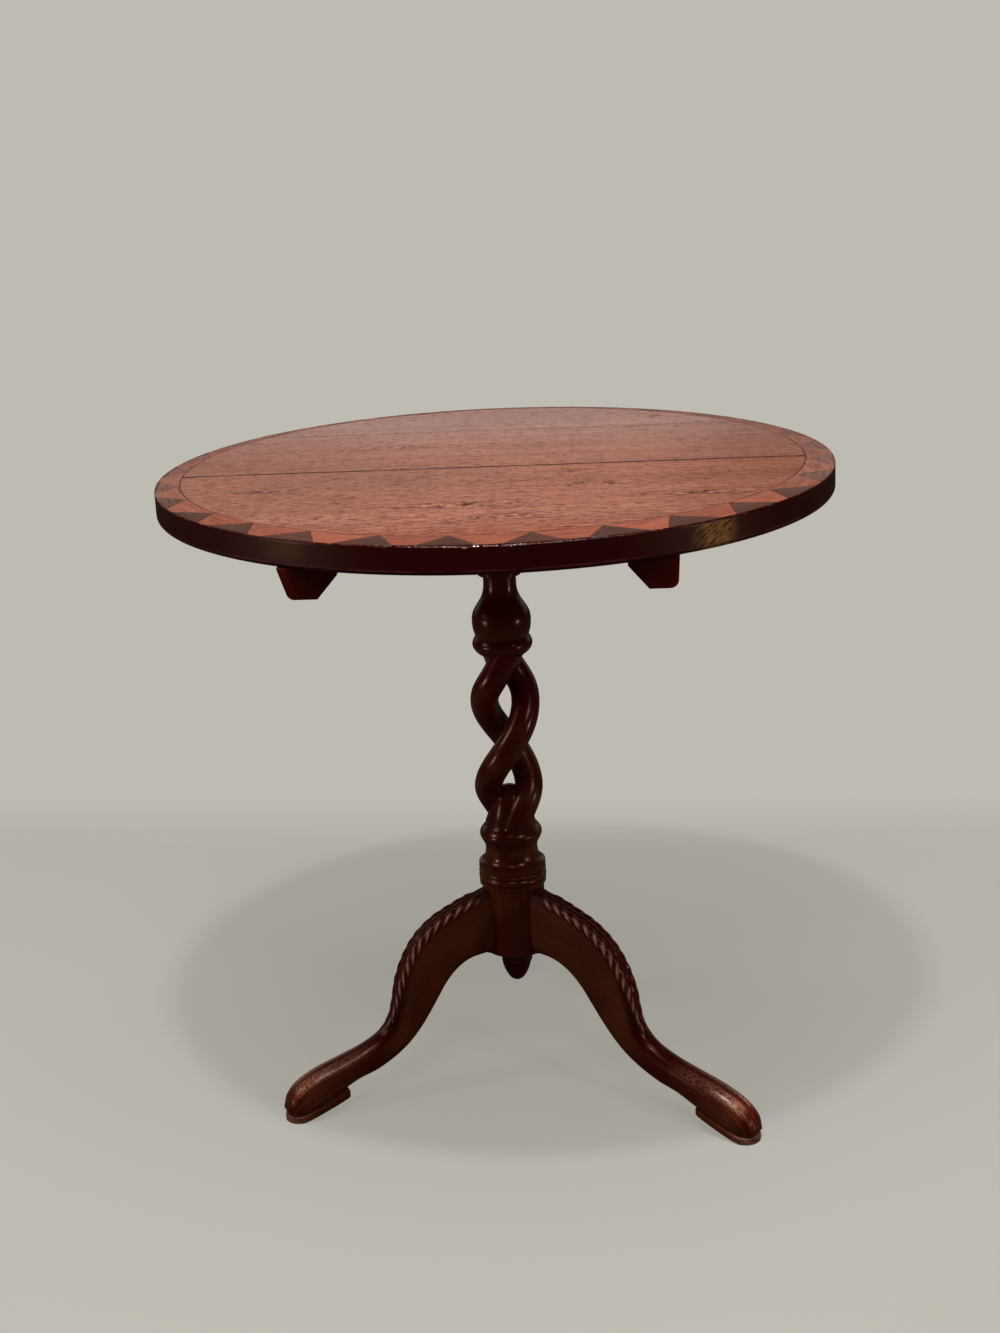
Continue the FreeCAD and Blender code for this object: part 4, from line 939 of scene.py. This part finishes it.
def dress():
    """Gives every CAD node its finish and builds the pieces that stand for some of them."""
    middle_tones = (tone(160, 100, 80), tone(182, 120, 98), tone(116, 66, 51), tone(198, 142, 120))
    front_tones = (tone(158, 92, 70), tone(182, 112, 86), tone(108, 54, 40), tone(208, 136, 104))
    # The back board's paler, pinker tones: its own tone, and partly a painted reflection of the wall.
    back_tones = (tone(168, 114, 99), tone(186, 134, 118), tone(136, 86, 73), tone(202, 152, 137))
    boards = {
        "top_board_front": board_finish("top_front_board_polish", 2.0, front_tones, 0.00),
        "top_board_middle": board_finish("top_middle_board_polish", 9.0, middle_tones, 0.37),
        "top_board_back": board_finish("top_back_board_polish", 17.0, back_tones, 0.81),
    }
    column = turned_finish("column_dark_polish")
    bearer = framing_finish("bearer_stain", 0.30)
    block = framing_finish("pivot_block_stain", 0.60)
    brass = metal_finish("catch_aged_brass", tone(196, 160, 92), tone(122, 92, 50), tone(64, 48, 30), 0.24)
    steel = metal_finish("screw_worn_steel", tone(150, 146, 140), tone(92, 84, 78), tone(78, 46, 30), 0.34)
    plain = {
        "bearer_left": bearer, "bearer_right": bearer, "pivot_block": block,
        "column": column, "pendant": column, "tenon_wedge": block,
        "pivot_pin_left": block, "pivot_pin_right": block, "bearer_screws": steel,
        "catch_screws": brass, "keeper_screws": brass,
        "keeper_plate": brass, "catch_housing": brass, "catch_bolt": brass, "catch_knob": brass,
    }
    plain.update(boards)
    for node, material in plain.items():
        mesh = nodes[node].data
        mesh.materials.clear()
        mesh.materials.append(material)

    # The pale tone laid on towards the back, and its weight, are a painted sheen.
    dark_shades = {
        "low": tone(78, 45, 35), "high": tone(103, 66, 54), "line": tone(54, 30, 24),
        "front": tone(92, 54, 43), "front_weight": 0.55, "back_sheen": tone(146, 104, 91), "fade_and_sheen": 0.84,
    }
    light_shades = {
        "low": tone(144, 79, 60), "high": tone(164, 98, 78), "line": tone(108, 56, 42),
        "front": tone(174, 95, 70), "front_weight": 0.70, "back_sheen": tone(160, 112, 98), "fade_and_sheen": 0.60,
    }
    dark = border_tiles("border_dark_veneers", True, tile_finish("dark_tile_veneer", dark_shades, 3.0))
    light = border_tiles("border_light_veneers", False, tile_finish("light_tile_veneer", light_shades, 8.0))
    for piece, node, slot in ((dark, "border_dark_tiles", "dark_tile_wood"),
                              (light, "border_light_tiles", "light_tile_wood")):
        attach(piece, "top")
        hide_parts(node)

    legs = leg_finish("leg_dark_polish")
    for side in LEG_REACH:
        leg = carved_leg(side, legs)
        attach(leg, "base")
        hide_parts("leg_" + side)
        pad = foot_pad(side, legs)
        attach(pad, "base")
        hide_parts("foot_pad_" + side)


PALE_WALL = tone(190, 187, 178)
PALE_FLOOR = tone(180, 177, 168)


def pale_floor():
    """A round pale floor that fades into the backdrop further out."""
    material, bench, shader = finish("pale_floor")
    place = piece_place(bench)
    x = part_of(place, "X")
    y = part_of(place, "Y")
    away = (x * x + y * y) ** 0.5
    mottle = clouds(stretched(place, 3.0, 3.0, 3.0), 3.0)
    seen = bench.node("ShaderNodeLightPath", out="Is Camera Ray")
    near_front = rise(away, 0.6, 1.2) * fall(y, -0.35, 0.25)
    colour = shaded(paint(near_front, tone(213, 210, 201), PALE_FLOOR), 0.985 + mottle * 0.03)
    colour = paint(seen, tone(104, 100, 94), colour)
    lay(shader, {"Base Color": colour, "Roughness": 0.9, "Specular IOR Level": 0.0})
    cover = Wire(bench.tree, shader.outputs[0])
    glow = bench.node("ShaderNodeEmission", sockets={"Color": tone(194, 191, 181), "Strength": 1.0})
    cover = bench.node("ShaderNodeMixShader", sockets={0: seen * 0.55, 1: cover, 2: glow})
    clear = bench.node("ShaderNodeBsdfTransparent")
    fade_and_sheen = bench.maths("MAXIMUM", rise(away, 0.85, 1.75), rise(y + x * 0.06, 0.62, 0.88))
    fade_and_sheen = bench.maths("MAXIMUM", fade_and_sheen, bench.node("ShaderNodeNewGeometry", out="Backfacing"))
    mixed = bench.node("ShaderNodeMixShader", sockets={0: fade_and_sheen, 1: cover, 2: clear})
    lay(bench.tree.nodes["Material Output"], {"Surface": mixed})
    mesh = bpy.data.meshes.new("pale_floor")
    ring = [(*on_circle(FLOOR_R, 360.0 * k / FLOOR_SIDES), 0.0) for k in range(FLOOR_SIDES)]
    mesh.from_pydata(ring, [], [tuple(range(FLOOR_SIDES))])
    mesh.materials.append(material)
    floor = bpy.data.objects.new("pale_floor", mesh)
    bpy.context.scene.collection.objects.link(floor)


def backdrop():
    """Pale all round to the eye; to the wood, pale high up behind the table and dim elsewhere."""
    world = bpy.data.worlds.new("studio")
    bpy.context.scene.world = world
    world.use_nodes = True
    bench = Wire(world.node_tree)
    way = bench.node("ShaderNodeTexCoord", out="Generated")
    height = part_of(way, "Z")
    behind = rise(part_of(way, "Y"), 0.35, 0.80) * rise(height, -0.02, 0.14) * fall(height, 0.31, 0.43)
    lit = paint(behind, (0.040, 0.037, 0.034, 1.0), (0.36, 0.34, 0.31, 1.0))
    seen = bench.node("ShaderNodeLightPath", out="Is Camera Ray")
    colour = paint(seen, lit, PALE_WALL)
    lay(world.node_tree.nodes["Background"], {"Color": colour, "Strength": 1.0})


def lamp(name, place, aim, width, height, power):
    """A rectangular soft lamp that lights the scene but isn't seen in it."""
    light = bpy.data.lights.new(name, "AREA")
    light.shape = "RECTANGLE"
    light.size = width
    light.size_y = height
    light.energy = power
    lit = bpy.data.objects.new(name, light)
    lit.location = place
    lit.rotation_euler = (Vector(aim) - Vector(place)).to_track_quat("-Z", "Y").to_euler()
    lit.visible_camera = False
    bpy.context.scene.collection.objects.link(lit)


def studio():
    """Floor, backdrop and lamps."""
    pale_floor()
    backdrop()
    for settings in LAMPS:
        lamp(*settings)


def camera():
    """The photograph's own view."""
    view = bpy.data.cameras.new("camera")
    view.sensor_fit = "AUTO"
    view.sensor_width = SENSOR
    view.lens = FOCAL_PIXELS * SENSOR / FRAME_HEIGHT
    eye = bpy.data.objects.new("camera", view)
    heading = Matrix.Rotation(math.radians(CAMERA_HEADING), 4, "Z")
    pitch = Matrix.Rotation(math.radians(90.0 - CAMERA_DOWN), 4, "X")
    roll = Matrix.Rotation(math.radians(CAMERA_ROLL), 4, "Z")
    eye.matrix_world = Matrix.Translation(CAMERA_PLACE) @ heading @ pitch @ roll
    bpy.context.scene.collection.objects.link(eye)
    bpy.context.scene.camera = eye


dress()
studio()
camera()
bpy.context.scene.view_settings.view_transform = "Standard"
